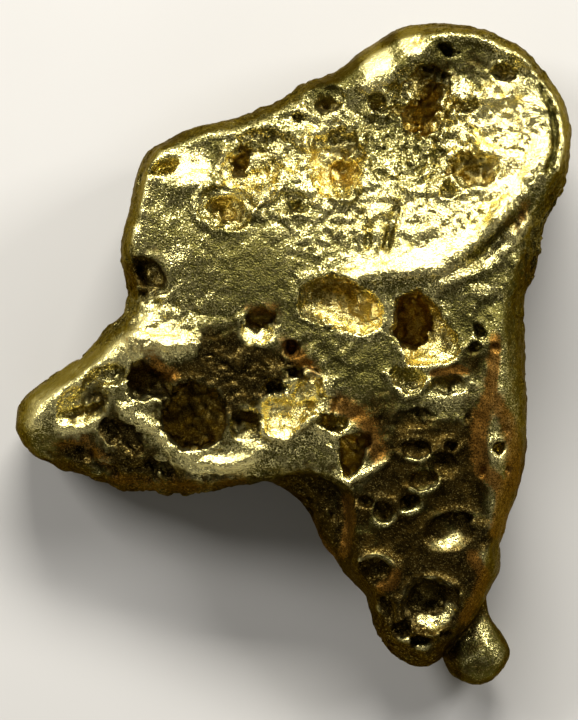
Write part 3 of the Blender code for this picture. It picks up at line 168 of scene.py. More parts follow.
# Ridges and grooves of the upper face: height, width, and the points they run through.
RIDGES = [
    # The head's rim.
    (0.14, 0.19, [(2.6, 6.29), (3.2, 6.35), (3.74, 6.24), (4.16, 6.04), (4.52, 5.8)]),
    (0.24, 0.1, [(4.3, 5.98), (4.6, 5.74), (4.92, 5.36), (5.16, 4.96), (5.29, 4.5), (5.3, 4.0),
        (5.2, 3.6)]),
    (-0.14, 0.07, [(4.82, 5.24), (5.02, 4.86), (5.1, 4.4), (5.08, 3.96), (4.96, 3.6)]),
    # The broad swell at its left end, and the fall outside it.
    (0.22, 0.28, [(1.3, 5.3), (1.7, 5.56), (2.1, 5.8), (2.5, 5.94)]),
    (-0.24, 0.28, [(0.8, 5.8), (1.2, 6.06), (1.6, 6.3), (2.0, 6.48), (2.5, 6.58)]),
    # The lip at the lower end of the head's basin, and the folds below it.
    (0.18, 0.27, [(4.84, 3.86), (4.62, 3.46), (4.28, 3.0), (4.0, 2.64)]),
    (0.23, 0.27, [(4.02, 2.7), (3.8, 2.44), (3.48, 2.12), (3.1, 1.84), (2.7, 1.62), (2.1, 1.56),
        (1.5, 1.48), (1.04, 1.48)]),
    (-0.12, 0.14, [(4.64, 2.84), (4.3, 2.56), (3.9, 2.18), (3.5, 1.8)]),
    (0.12, 0.16, [(4.5, 2.46), (4.14, 2.1), (3.86, 1.72), (3.3, 1.44), (2.8, 1.26)]),
    (0.12, 0.3, [(4.2, 1.3), (3.8, 1.2), (3.5, 1.06)]),
    # The rib down the right side, and the groove beside it.
    (0.18, 0.2, [(3.98, 0.6), (3.94, 0.1), (3.96, -1.0), (3.86, -1.8), (3.84, -2.6), (3.9, -3.4),
        (3.72, -4.2), (3.62, -4.8), (3.34, -5.5), (3.02, -5.9)]),
    (-0.09, 0.16, [(3.56, -0.4), (3.48, -1.4), (3.4, -2.2), (3.5, -3.0), (3.68, -3.3)]),
    # The edge of the leg above the web.
    (0.16, 0.12, [(0.96, -2.8), (1.06, -3.3), (1.0, -3.9), (1.06, -4.2)]),
    # The fall outside the tongue's upper rim.
    (-0.2, 0.24, [(-5.6, -1.1), (-5.2, -0.66), (-4.7, -0.32), (-4.12, 0.2), (-3.8, 0.6)]),
    # The tongue's upper rim, the ledge above it, and the ridge under its great cavity.
    (0.15, 0.22, [(-3.3, 0.02), (-3.6, -0.05), (-4.01, -0.2), (-4.43, -0.48), (-4.86, -0.8),
        (-5.2, -1.1), (-5.36, -1.5)]),
    (0.22, 0.24, [(-3.3, 0.3), (-2.9, 0.12), (-2.5, 0.06), (-2.2, 0.14)]),
    (0.14, 0.18, [(-3.5, -1.26), (-3.0, -1.52), (-2.64, -1.92), (-2.2, -2.2), (-1.5, -2.36),
        (-1.1, -2.24), (-0.76, -2.04)]),
    # The lip over the web.
    (0.14, 0.09, [(-2.4, -2.6), (-1.2, -2.62), (-0.6, -2.56), (-0.2, -2.46), (0.2, -2.46), (0.6, -2.58),
        (0.9, -2.68), (1.3, -2.5), (1.7, -2.24)]),
    # The rim of the bright bowls in the middle.
    (0.1, 0.09, [(-0.78, -1.5), (-0.7, -1.7), (-0.3, -1.78), (0.1, -1.5), (0.32, -1.1)]),
    # The shoulder's edges.
    (0.18, 0.11, [(-2.82, 3.98), (-2.94, 3.74)]), (0.2, 0.11, [(-3.06, 3.46), (-3.14, 3.1), (-3.2, 2.78)]),
    (0.16, 0.1, [(-3.34, 2.42), (-3.36, 2.2)]),
    (0.12, 0.12, [(-2.8, 4.02), (-2.4, 4.2), (-1.8, 4.36), (-1.1, 4.52), (-0.6, 4.72), (0.0, 5.1),
        (0.4, 5.3)]),
    (0.17, 0.25, [(-2.4, 3.28), (-2.14, 3.38), (-1.92, 3.38)]),
    # The walls between the shoulder's cavities.
    (0.18, 0.09, [(0.16, 4.4), (0.08, 4.16), (0.12, 3.96)]),
    (0.18, 0.09, [(0.28, 3.92), (0.34, 3.56), (0.48, 3.22)]),
    (0.22, 0.1, [(-1.5, 3.96), (-1.5, 3.6), (-1.46, 3.3)]),
    (0.2, 0.13, [(-0.86, 2.94), (-0.62, 3.1), (-0.5, 3.3)]),
    (0.12, 0.09, [(-1.46, 4.36), (-1.1, 4.24), (-0.8, 4.3)]),
    (0.12, 0.1, [(1.3, 3.3), (1.0, 3.06), (0.6, 3.1)]),
    # Clefts and swells of the head's basin.
    (-0.12, 0.07, [(1.22, 2.7), (1.38, 2.5), (1.34, 2.1)]),
    (-0.2, 0.08, [(1.92, 2.8), (1.8, 2.4), (1.72, 2.04)]), (0.2, 0.2, [(3.9, 5.1), (4.2, 5.14)]),
    (0.14, 0.2, [(3.14, 5.12), (3.26, 5.2)]), (0.1, 0.14, [(1.0, 3.0), (1.3, 4.6), (2.0, 5.6)]),
    # Raised lips beside small cavities of the right side and the leg.
    (0.1, 0.09, [(1.74, -0.48), (2.12, -0.92), (2.56, -0.62)]),
    (0.08, 0.07, [(1.94, -2.06), (2.4, -2.2), (2.62, -2.06)]),
    (0.08, 0.07, [(2.1, -2.74), (2.5, -2.8), (2.76, -2.7)]),
]

# Cavities of the upper face: x, y, half length, half width, turn in degrees, depth, how much wider they are
# inside than at the mouth, from -0.6 for a shallow dish to 0.6 for a flask, and the height of the lip.
CAVITIES = [
    # The middle.
    (-0.82, 0.4, 0.34, 0.3, 0, 0.26, -0.4, 0.04), (-0.16, 0.0, 0.13, 0.17, 0, 0.24, 0.1, 0.03),
    (-0.38, -1.3, 0.4, 0.42, 0, 0.3, -0.35, 0.06), (0.1, -0.94, 0.34, 0.42, -20, 0.28, -0.35, 0.06),
    (-0.48, -0.8, 0.23, 0.08, 5, 0.38, 0.1, 0.05), (0.06, -0.52, 0.28, 0.07, -8, 0.32, 0.1, 0.05),
    (0.5, -1.1, 0.22, 0.2, 0, 0.18, -0.4, 0.05), (0.62, -1.5, 0.26, 0.14, -5, 0.38, 0.1, 0.06),
    # The tongue.
    (-4.4, -1.1, 0.58, 0.34, 28, 0.22, -0.5, 0.03), (-4.4, -1.24, 0.46, 0.09, 14, 0.4, 0.1, 0.02),
    (-3.9, -0.52, 0.38, 0.2, 15, 0.22, -0.2, 0.02), (-4.16, -0.72, 0.18, 0.15, 0, 0.24, 0.0, 0.03),
    (-4.5, -2.08, 0.42, 0.22, -18, 0.16, -0.3, 0.02), (-3.6, -1.74, 0.46, 0.26, -30, 0.14, -0.4, 0.02),
    (-2.8, -2.4, 0.4, 0.2, -12, 0.14, -0.3, 0.02), (-3.9, -2.36, 0.26, 0.16, -30, 0.14, -0.2, 0.02),
    (-1.7, -2.6, 0.34, 0.1, 0, 0.16, 0.0, 0.03),
    # The left edge.
    (-3.04, 1.5, 0.5, 0.27, -35, 0.42, -0.2, 0.01), (-3.1, 1.1, 0.24, 0.16, 0, 0.16, -0.2, 0.03),
    # The shoulder.
    (-2.72, 3.66, 0.3, 0.11, 20, 0.34, 0.1, 0.03), (-0.76, 3.84, 0.8, 0.56, 10, 0.3, -0.5, 0.05),
    (-1.16, 3.76, 0.19, 0.23, 0, 0.66, 0.3, 0.03), (-0.56, 3.66, 0.08, 0.07, 0, 0.2, 0.1, 0.02),
    (-0.56, 4.14, 0.27, 0.18, 10, 0.3, 0.0, 0.03), (-1.5, 2.86, 0.5, 0.4, 0, 0.17, -0.5, 0.12),
    (-1.54, 2.84, 0.3, 0.25, 15, 0.48, 0.1, 0.03), (0.74, 3.8, 0.5, 0.72, 0, 0.32, -0.5, 0.05),
    (0.84, 3.64, 0.18, 0.26, 0, 0.58, 0.2, 0.03), (0.64, 4.16, 0.13, 0.2, 0, 0.28, 0.1, 0.03),
    (0.42, 5.02, 0.44, 0.3, 0, 0.18, -0.5, 0.05), (0.5, 4.92, 0.22, 0.15, 0, 0.38, 0.1, 0.03),
    (-0.14, 2.94, 0.32, 0.2, 0, 0.13, -0.5, 0.05), (-0.1, 2.92, 0.09, 0.09, 0, 0.26, 0.1, 0.02),
    (-0.04, 4.66, 0.08, 0.06, 0, 0.17, 0.1, 0.02),
    # The head.
    (2.48, 4.7, 0.44, 0.38, 35, 0.8, 0.1, 0.0), (2.66, 5.18, 0.26, 0.3, 15, 0.5, 0.0, 0.0),
    (2.44, 4.44, 0.22, 0.13, 10, 0.95, 0.1, 0.0), (2.96, 6.0, 0.17, 0.08, -35, 0.32, 0.1, 0.04),
    (3.36, 4.88, 0.23, 0.11, 20, 0.24, 0.0, 0.05), (2.8, 3.94, 0.14, 0.1, 0, 0.18, 0.0, 0.04),
    (2.94, 3.2, 0.12, 0.1, 0, 0.18, 0.0, 0.04),
    # The right side and the leg.
    (3.58, 0.36, 0.18, 0.08, -55, 0.2, 0.0, 0.08), (3.5, 0.06, 0.13, 0.07, 20, 0.16, 0.0, 0.06),
    (3.96, -1.96, 0.14, 0.12, 20, 0.34, 0.2, 0.05), (2.98, -0.74, 0.32, 0.18, 0, 0.18, -0.4, 0.02),
    (2.34, -2.0, 0.27, 0.14, -5, 0.12, -0.2, 0.06), (3.02, -1.92, 0.1, 0.08, 0, 0.12, 0.0, 0.05),
    (2.48, -2.6, 0.28, 0.16, 5, 0.14, -0.1, 0.05), (3.14, -3.42, 0.32, 0.17, 12, 0.26, 0.0, 0.03),
    (2.96, -3.68, 0.47, 0.36, 12, 0.24, -0.4, 0.05), (1.5, -4.44, 0.34, 0.28, 0, 0.2, -0.1, 0.14),
    (2.64, -5.14, 0.54, 0.5, 0, 0.2, -0.5, 0.12), (2.56, -5.02, 0.38, 0.36, 0, 0.46, 0.1, 0.0),
    (2.44, -5.84, 0.2, 0.12, 0, 0.18, -0.2, 0.08), (1.76, -5.2, 0.16, 0.24, 20, 0.14, -0.3, 0.07),
    (2.04, -5.62, 0.22, 0.15, 40, 0.18, -0.2, 0.08), (2.92, -5.72, 0.15, 0.1, 0, 0.12, -0.2, 0.05),
    (2.3, -1.4, 0.4, 0.2, 10, 0.12, -0.4, 0.02), (2.9, -2.3, 0.3, 0.22, 0, 0.12, -0.4, 0.02),
]

# Cavities with corners: depth at the mouth's middle, slope of the floor along x and y, height of the lip,
# and the points of the mouth.
ANGULAR_CAVITIES = [
    # The long trough, its floor falling to its upper right end.
    (0.42, (-0.2, -0.24), 0.05, [(0.0, 1.16), (0.3, 1.42), (0.9, 1.44), (1.3, 1.12), (1.6, 0.9),
        (1.62, 0.6), (1.4, 0.36), (1.0, 0.38), (0.4, 0.64), (0.04, 0.72)]),
    # The dish around the great angular hole, and the hole.
    (0.52, (0.1, -0.25), 0.06, [(2.0, 1.06), (2.4, 1.14), (2.8, 0.74), (3.12, 0.24), (3.14, -0.1),
        (2.8, -0.24), (2.2, -0.24), (2.08, 0.0), (1.96, 0.34), (1.9, 0.8)]),
    (1.15, (0.0, 0.0), 0.0, [(1.96, 0.92), (2.04, 1.02), (2.24, 1.08), (2.58, 0.76), (2.64, 0.6),
        (2.55, 0.22), (2.32, 0.08), (2.14, 0.14), (1.86, 0.36), (1.92, 0.6)]),
    # The dark hole above a bright bowl, left of the middle.
    (0.5, (0.0, 0.0), 0.02, [(-1.06, 0.7), (-0.88, 0.86), (-0.64, 0.78), (-0.56, 0.56), (-0.78, 0.46),
        (-1.04, 0.5)]),
    # The tongue's great cavity, with a nearly level floor.
    (0.95, (0.0, 0.05), 0.06, [(-2.44, -0.71), (-2.08, -0.65), (-1.66, -0.89), (-1.49, -1.32),
        (-1.57, -1.74), (-1.9, -1.95), (-2.38, -1.98), (-2.71, -1.62), (-2.74, -1.26), (-2.53, -0.89)]),
    # The pit to its right, its floor rising to the lower end.
    (0.34, (0.0, -0.7), 0.04, [(-1.3, -1.36), (-1.16, -1.22), (-0.88, -1.22), (-0.78, -1.4),
        (-0.8, -1.64), (-0.96, -1.84), (-1.24, -1.86), (-1.34, -1.62)]),
    # The three-cornered pit to its left, its floor rising to the lower end.
    (0.5, (-0.1, -0.6), 0.05, [(-3.44, -0.44), (-3.28, -0.26), (-3.0, -0.32), (-2.46, -0.76),
        (-2.6, -0.92), (-3.0, -0.98), (-3.32, -1.04), (-3.46, -0.84)]),
    # The three-cornered pit above the leg.
    (0.22, (0.0, 0.0), 0.02, [(1.8, -0.46), (2.1, -0.42), (2.48, -0.54), (2.36, -0.76), (2.13, -0.88),
        (1.94, -0.7)]),
    # The drop-shaped pit at the top of the leg.
    (0.62, (0.0, 0.2), 0.06, [(0.86, -1.74), (1.4, -1.74), (1.36, -2.04), (1.16, -2.4), (0.92, -2.56),
        (0.84, -2.3)]),
    # Two small pits of the leg.
    (0.18, (0.0, 0.0), 0.07, [(1.6, -3.04), (1.86, -3.12), (1.82, -3.44), (1.56, -3.4), (1.48, -3.2)]),
    (0.18, (0.0, 0.0), 0.07, [(2.04, -2.98), (2.24, -2.9), (2.38, -3.0), (2.34, -3.14), (2.1, -3.22)]),
    # The dish around the deep cavities of the head.
    (0.26, (0.0, -0.1), 0.03, [(2.3, 5.58), (2.54, 5.66), (2.92, 5.48), (2.98, 5.16), (3.06, 4.96),
        (2.94, 4.6), (2.78, 4.3), (2.44, 4.24), (2.14, 4.4), (2.04, 4.66), (1.84, 4.82), (1.98, 5.06)]),
    # Two small pits of the head.
    (0.32, (0.2, 0.0), 0.03, [(1.42, 5.06), (1.54, 5.12), (1.68, 4.96), (1.74, 4.74), (1.56, 4.74),
        (1.4, 4.88)]),
    (0.2, (0.0, 0.1), 0.04, [(3.84, 5.56), (4.04, 5.68), (4.28, 5.54), (4.2, 5.38), (3.98, 5.42)]),
    # The three-cornered pit in the head's basin.
    (0.4, (0.1, 0.1), 0.05, [(3.0, 3.84), (3.9, 3.9), (3.94, 3.64), (3.56, 3.24), (3.2, 3.4), (2.96, 3.6)]),
]

# Cavities of the sides and the underside: x, y, z, and the rest as for the upper face, without the lip.
HIDDEN_CAVITIES = [
    (4.95, 2.6, 2.3, 0.4, 0.28, 30, 0.4, 0.0), (4.55, -0.4, 1.6, 0.45, 0.3, 80, 0.45, 0.1),
    (3.5, 6.45, 1.9, 0.42, 0.3, 5, 0.36, 0.0), (0.2, 5.4, 1.7, 0.36, 0.3, 0, 0.36, 0.1),
    (-3.6, 2.3, 1.8, 0.48, 0.34, 20, 0.45, 0.0), (-4.6, -0.25, 1.4, 0.34, 0.24, 0, 0.3, 0.0),
    (-2.2, -2.9, 1.5, 0.5, 0.3, 10, 0.4, 0.0), (4.1, -3.9, 1.3, 0.36, 0.26, 60, 0.32, 0.0),
    (0.2, 0.2, 0.7, 0.7, 0.55, 30, 0.6, 0.1), (-1.6, 2.4, 0.5, 0.5, 0.42, -20, 0.5, 0.1),
    (2.0, 2.6, 0.4, 0.6, 0.44, 50, 0.5, 0.0), (1.2, -1.4, 0.6, 0.42, 0.36, 0, 0.42, 0.2),
    (3.6, 0.6, 0.5, 0.36, 0.3, 0, 0.36, 0.1), (-2.6, -0.6, 0.4, 0.44, 0.34, 15, 0.4, 0.0),
    (1.0, 4.4, 0.5, 0.4, 0.34, 0, 0.4, 0.1), (2.4, -5.0, 0.4, 0.3, 0.24, 70, 0.3, 0.0),
    (4.6, 4.4, 0.6, 0.34, 0.28, 0, 0.34, 0.0), (-0.6, -1.6, 0.5, 0.36, 0.3, 0, 0.36, 0.2),
]

# How rough the surface is at spots of the plan: x, y, and 0 for smooth, 1 or more for crumbly.
CRUMBLE_SPOTS = [
    # The head: its rim, its basin, and the folds below.
    (1.4, 5.9, 0.05), (2.6, 6.5, 0.1), (4.2, 6.2, 0.15), (5.3, 4.6, 0.1), (5.2, 3.4, 0.2), (2.5, 4.7, 1.4),
    (2.9, 5.6, 0.5), (3.9, 5.4, 0.6), (3.4, 4.4, 0.8), (4.4, 4.4, 0.7), (4.4, 3.8, 0.6), (3.6, 3.5, 0.7),
    (2.6, 3.6, 0.8), (2.6, 2.6, 0.7), (1.8, 2.6, 0.9), (1.0, 2.6, 0.8), (1.6, 3.8, 0.7), (1.8, 1.8, 0.1),
    (3.0, 2.0, 0.05), (4.0, 2.8, 0.4), (4.5, 2.4, 0.9), (3.7, 1.9, 0.8), (4.3, 1.6, 0.35), (4.0, 0.8, 0.25),
    (3.0, 1.2, 0.2),
    # The shoulder and the plateau.
    (-2.6, 4.1, 0.2), (-1.2, 4.4, 0.2), (0.3, 4.9, 0.3), (-2.2, 3.5, 0.1), (-3.2, 3.2, 0.1),
    (-2.4, 2.9, 0.3), (-0.9, 3.7, 0.7), (-1.5, 2.9, 0.5), (-0.2, 3.2, 0.6), (0.8, 3.8, 0.7),
    (-2.2, 2.0, 0.1), (-0.8, 2.0, 0.15), (0.4, 2.0, 0.35), (-1.0, 1.2, 0.15), (0.0, 0.6, 0.15),
    (-2.0, 1.2, 0.2), (-2.9, 1.6, 0.1), (-2.6, 0.6, 0.5), (-3.1, 0.6, 0.9),
    # The middle.
    (0.8, 0.9, 0.5), (1.0, 0.1, 0.15), (1.4, -0.6, 0.15), (2.6, 0.4, 0.3), (3.4, 0.2, 0.35),
    (-1.6, 0.1, 0.6), (-1.4, -0.5, 0.9), (-0.6, -0.4, 0.8), (0.2, -0.2, 0.7), (-0.2, -1.2, 0.8),
    (0.6, -1.0, 0.6), (2.6, -0.8, 0.5), (1.6, -1.4, 0.4), (3.2, -1.2, 0.35), (-0.4, -2.1, 0.2),
    # The tongue.
    (-5.5, -1.5, 0.1), (-4.9, -0.9, 0.1), (-4.2, -0.3, 0.15), (-4.4, -1.2, 0.2), (-3.6, -0.9, 0.3),
    (-3.0, -0.6, 0.2), (-1.0, -1.6, 0.0), (-3.8, -1.8, 0.6), (-4.8, -2.0, 0.4), (-3.0, -2.3, 0.5),
    (-2.1, -1.3, 0.1), (-2.2, -2.4, 0.6), (-1.4, -2.4, 0.5), (-2.8, -1.7, 0.7),
    # The right side, the leg and the web.
    (4.2, -0.2, 0.15), (4.0, -1.6, 0.2), (4.1, -3.0, 0.2), (2.4, -2.2, 0.25), (3.0, -2.6, 0.2),
    (1.9, -3.0, 0.25), (1.2, -2.2, 0.3), (1.6, -3.7, 0.1), (2.4, -4.0, 0.05), (3.0, -3.6, 0.15),
    (3.3, -4.6, 0.15), (1.6, -4.6, 0.15), (1.8, -5.4, 0.4), (2.6, -5.0, 0.0), (2.4, -6.1, 0.5),
    (3.3, -5.4, 0.2), (0.5, -3.4, 0.5), (-0.1, -2.9, 0.5), (3.7, -6.2, 0.1),
]
CRUMBLE_REACH = 0.6
# How rough it is below the widest level, how much rougher inside the cavities, and how deep that starts.
CRUMBLE_BELOW, CRUMBLE_INSIDE, INSIDE_DEPTH = 0.12, 0.25, 0.2
# The mean height of the crumbs, as a share of their greatest.
CRUMB_MEAN = 0.45
# How much the walls of cavities wander: where it is smooth, in cavities with corners, and the half width
# from which on they wander fully.
LEAST_WANDER, ANGULAR_WANDER, WANDER_WIDTH = 0.35, 0.4, 0.3
# How far around a cavity the field is changed.
ANGULAR_REACH, EGG_REACH, EGG_EDGE = 0.3, 1.4, 0.25
# How much wider the edge is rounded below the widest level than above, and the height of the change.
UNDER_SHOULDER, WAIST_BLEND = 1.7, 0.45
# How far over the rounded edge the upper face is followed, as a share of the edge's width.
STEEPEST_SHARE = 0.98
# The width of a cavity's raised lip, and the rounding of its mouth, of its floor's foot, and between bodies.
LIP_SPREAD, LIP_ROUNDING, FLOOR_ROUNDING, BODY_ROUNDING = 0.1, 0.06, 0.24, 0.28
# How far from the surface the waves still change the field, and the seeds of the random waves.
NEAR_SURFACE = 0.45
LUMP_SEED, WANDER_SEED, CRUMB_SEED = 1, 11, 31

# Small pits, scattered over the whole surface: how many, the least and greatest half width, and a seed.
SMALL_PITS = [(90, 0.05, 0.11, 23), (30, 0.12, 0.2, 24)]
# Those of more than this half width are only dug below the widest level.
HIDDEN_PIT = 0.11
# Their half length and depth as shares of their half width, their bulge, and how many cells they keep from
# the sides of the block.
PIT_LENGTH, PIT_DEPTH, PIT_BULGE, PIT_CLEARANCE = (1.0, 1.8), (0.8, 2.0), (-0.2, 0.3), 6

# How far above the widest level the face's own stains, painted highlights and painted shade are full, and how
# stained it is below.
FACE_BLEND = 0.4
SIDE_STAIN = 0.3
# How much of the stain is cleared where a highlight is painted, so that the highlight shows.
HIGHLIGHT_STAIN_CLEARING = 0.45
# How often the surface is smoothed to find what stands out, near and wide, and how much each counts.
CREST_ROUNDS, CREST_WEIGHTS = (2, 14), (9, 4)

# Where the gold is stained brown: x, y, reach, and how much.
STAINS = [
    (-1.6, -0.2, 0.5, 1.0), (-0.9, -0.5, 0.5, 1.1), (-0.2, -0.3, 0.35, 0.7), (-1.4, -1.0, 0.4, 0.7),
    (-0.6, 0.7, 0.25, 0.5), (-2.1, -1.3, 0.5, 1.4), (-2.3, -0.5, 0.4, 0.7), (-3.0, -0.5, 0.3, 1.2),
    (-3.7, -1.6, 0.4, 0.7), (-4.4, -2.0, 0.5, 0.72), (-3.4, -2.3, 0.5, 0.8), (-2.4, -2.6, 0.4, 0.65),
    (-1.4, -2.6, 0.4, 0.5), (-4.1, -1.0, 0.25, 0.5), (-3.1, 1.5, 0.35, 0.8), (0.1, -3.0, 0.5, 1.0),
    (0.6, -3.8, 0.5, 1.0), (1.2, -2.3, 0.3, 0.4), (2.3, -1.9, 0.5, 0.9), (3.0, -2.0, 0.5, 0.9),
    (2.0, -2.8, 0.5, 0.95), (3.1, -2.9, 0.5, 0.9), (2.2, -3.8, 0.6, 1.0), (1.5, -4.5, 0.5, 1.0),
    (2.9, -4.4, 0.5, 1.0), (2.3, -4.6, 0.5, 1.0), (2.0, -5.4, 0.6, 1.15), (2.9, -5.2, 0.5, 0.9),
    (2.6, -6.1, 0.5, 0.8), (3.6, -6.1, 0.35, 0.5), (1.1, -3.2, 0.3, 1.0), (1.2, -4.0, 0.3, 1.0),
    (3.3, -2.8, 0.35, 1.0), (3.5, -3.7, 0.3, 1.0), (3.4, -4.5, 0.3, 1.0), (2.56, -5.02, 0.3, 1.2),
    (1.6, -1.3, 0.35, 0.6), (3.0, -0.5, 0.3, 0.6), (2.8, 5.6, 0.3, 0.5), (3.5, 5.7, 0.3, 0.4),
    (4.1, 5.5, 0.2, 0.5), (2.4, 4.9, 0.4, 0.24), (0.5, 4.9, 0.2, 0.5), (3.5, 3.6, 0.3, 0.5),
    (-1.2, 3.9, 0.2, 0.5), (0.8, 4.0, 0.3, 0.3), (3.4, -0.2, 0.3, 0.5), (3.5, -1.4, 0.25, 0.7),
    (4.4, -2.4, 0.5, 0.5), (4.3, -0.6, 0.5, 0.3), (4.6, 1.6, 0.4, 0.4),
]
# Where the gold is brighter, partly worn bright and partly as painted highlight, and below 0 darker as
# painted shade: x, y, reach, and how much.
WORN_SHINE_AND_PAINTED_LIGHT = [
    (4.4, 4.5, 0.6, 1.2), (3.6, 4.2, 0.4, 0.8), (4.4, 3.8, 0.4, 0.2), (2.6, 2.8, 0.5, 0.6),
    (1.8, 2.4, 0.5, 0.6), (3.2, 2.8, 0.4, 0.5), (-2.2, 3.5, 0.35, 0.8), (-1.3, 3.4, 0.4, 0.8),
    (0.2, 3.7, 0.4, 0.7), (0.6, 4.6, 0.4, 0.6), (1.5, 5.6, 0.4, 0.7), (2.2, 6.0, 0.4, 0.6),
    (-2.8, 0.3, 0.45, 0.6), (-3.1, 0.7, 0.35, 0.8), (-1.05, -1.65, 0.18, 0.7), (-3.1, -0.8, 0.2, 0.7),
    (-4.6, -0.7, 0.4, 0.6), (-4.3, -1.5, 0.6, 0.5), (-5.5, -1.8, 0.35, -0.7), (-1.8, -2.3, 0.4, 0.6),
    (-0.4, -1.4, 0.35, 0.5), (0.1, -0.9, 0.3, 0.4), (2.7, 0.1, 0.25, 0.5), (3.0, -3.8, 0.25, 0.4),
    (-0.8, 0.35, 0.25, 0.5), (0.9, 0.85, 0.4, 0.9), (1.35, 0.66, 0.25, 1.5), (2.9, 0.0, 0.25, 0.5),
    (1.2, 3.2, 0.5, 0.4), (0.3, -3.3, 0.4, -0.9), (-0.6, 2.0, 0.5, -0.3), (-1.2, 1.2, 0.5, -0.45),
    (0.2, 0.4, 0.4, -0.45), (1.0, -0.2, 0.5, -0.8), (1.8, -0.6, 0.5, -0.8), (-2.5, -0.3, 0.3, -0.6),
    (2.4, -3.6, 0.6, -0.6), (2.6, -2.4, 0.6, -0.5), (1.4, -3.6, 0.3, -0.8), (3.6, 0.6, 0.5, -0.5),
    (4.3, 0.6, 0.5, -0.5), (3.6, -6.1, 0.5, -0.9), (4.2, 1.6, 0.4, -0.3), (3.9, 2.5, 0.35, 0.5),
    (2.0, 4.0, 0.4, -0.1), (1.6, 1.9, 0.3, -0.2),
]
# Where iron has left it rusty: width, how much, and the points it runs through.
RUST = [
    (0.1, 1.0, [(3.89, 0.2), (3.86, -0.4), (3.8, -0.9)]),
    (0.13, 1.0, [(3.76, -1.0), (3.62, -1.36), (3.58, -1.8), (3.63, -2.34), (4.01, -2.72), (4.07, -3.05),
        (3.96, -3.59)]),
    (0.14, 0.9, [(3.9, -1.0), (4.14, -1.4), (4.28, -1.9), (4.26, -2.6), (4.06, -2.9)]),
    (0.1, 0.9, [(3.47, -4.13), (3.69, -4.51), (3.58, -4.89), (3.31, -5.38)]),
    (0.18, 0.8, [(0.8, -1.1), (1.2, -1.3), (1.44, -1.7), (1.52, -2.1)]),
    (0.15, 0.6, [(-0.34, 0.16), (-0.1, -0.1), (0.16, -0.3), (0.3, -0.44)]),
    (0.08, 0.9, [(0.96, -3.0), (1.02, -3.4), (0.92, -3.9), (0.86, -4.1)]),
    (0.09, 0.8, [(0.16, -3.4), (0.4, -3.9), (0.66, -4.2)]), (0.12, 0.7, [(-2.86, -0.3), (-2.56, -0.54)]),
    (0.07, 1.0, [(2.66, -0.46), (3.1, -0.38), (3.3, -0.42)]), (0.12, 0.6, [(-1.0, 0.84), (-0.6, 0.8)]),
    (0.09, 0.9, [(1.62, -4.76), (1.84, -4.7), (1.92, -4.48)]), (0.12, 0.5, [(4.5, 2.9), (4.36, 2.4)]),
    (0.14, 0.5, [(-3.44, 0.16), (-3.1, 0.06), (-2.9, -0.1)]),
    (0.14, 0.5, [(-3.7, -2.6), (-2.8, -2.74), (-1.8, -2.7), (-1.2, -2.6)]),
    (0.12, 0.5, [(-4.9, -1.9), (-4.3, -1.8), (-3.9, -2.3)]),
]
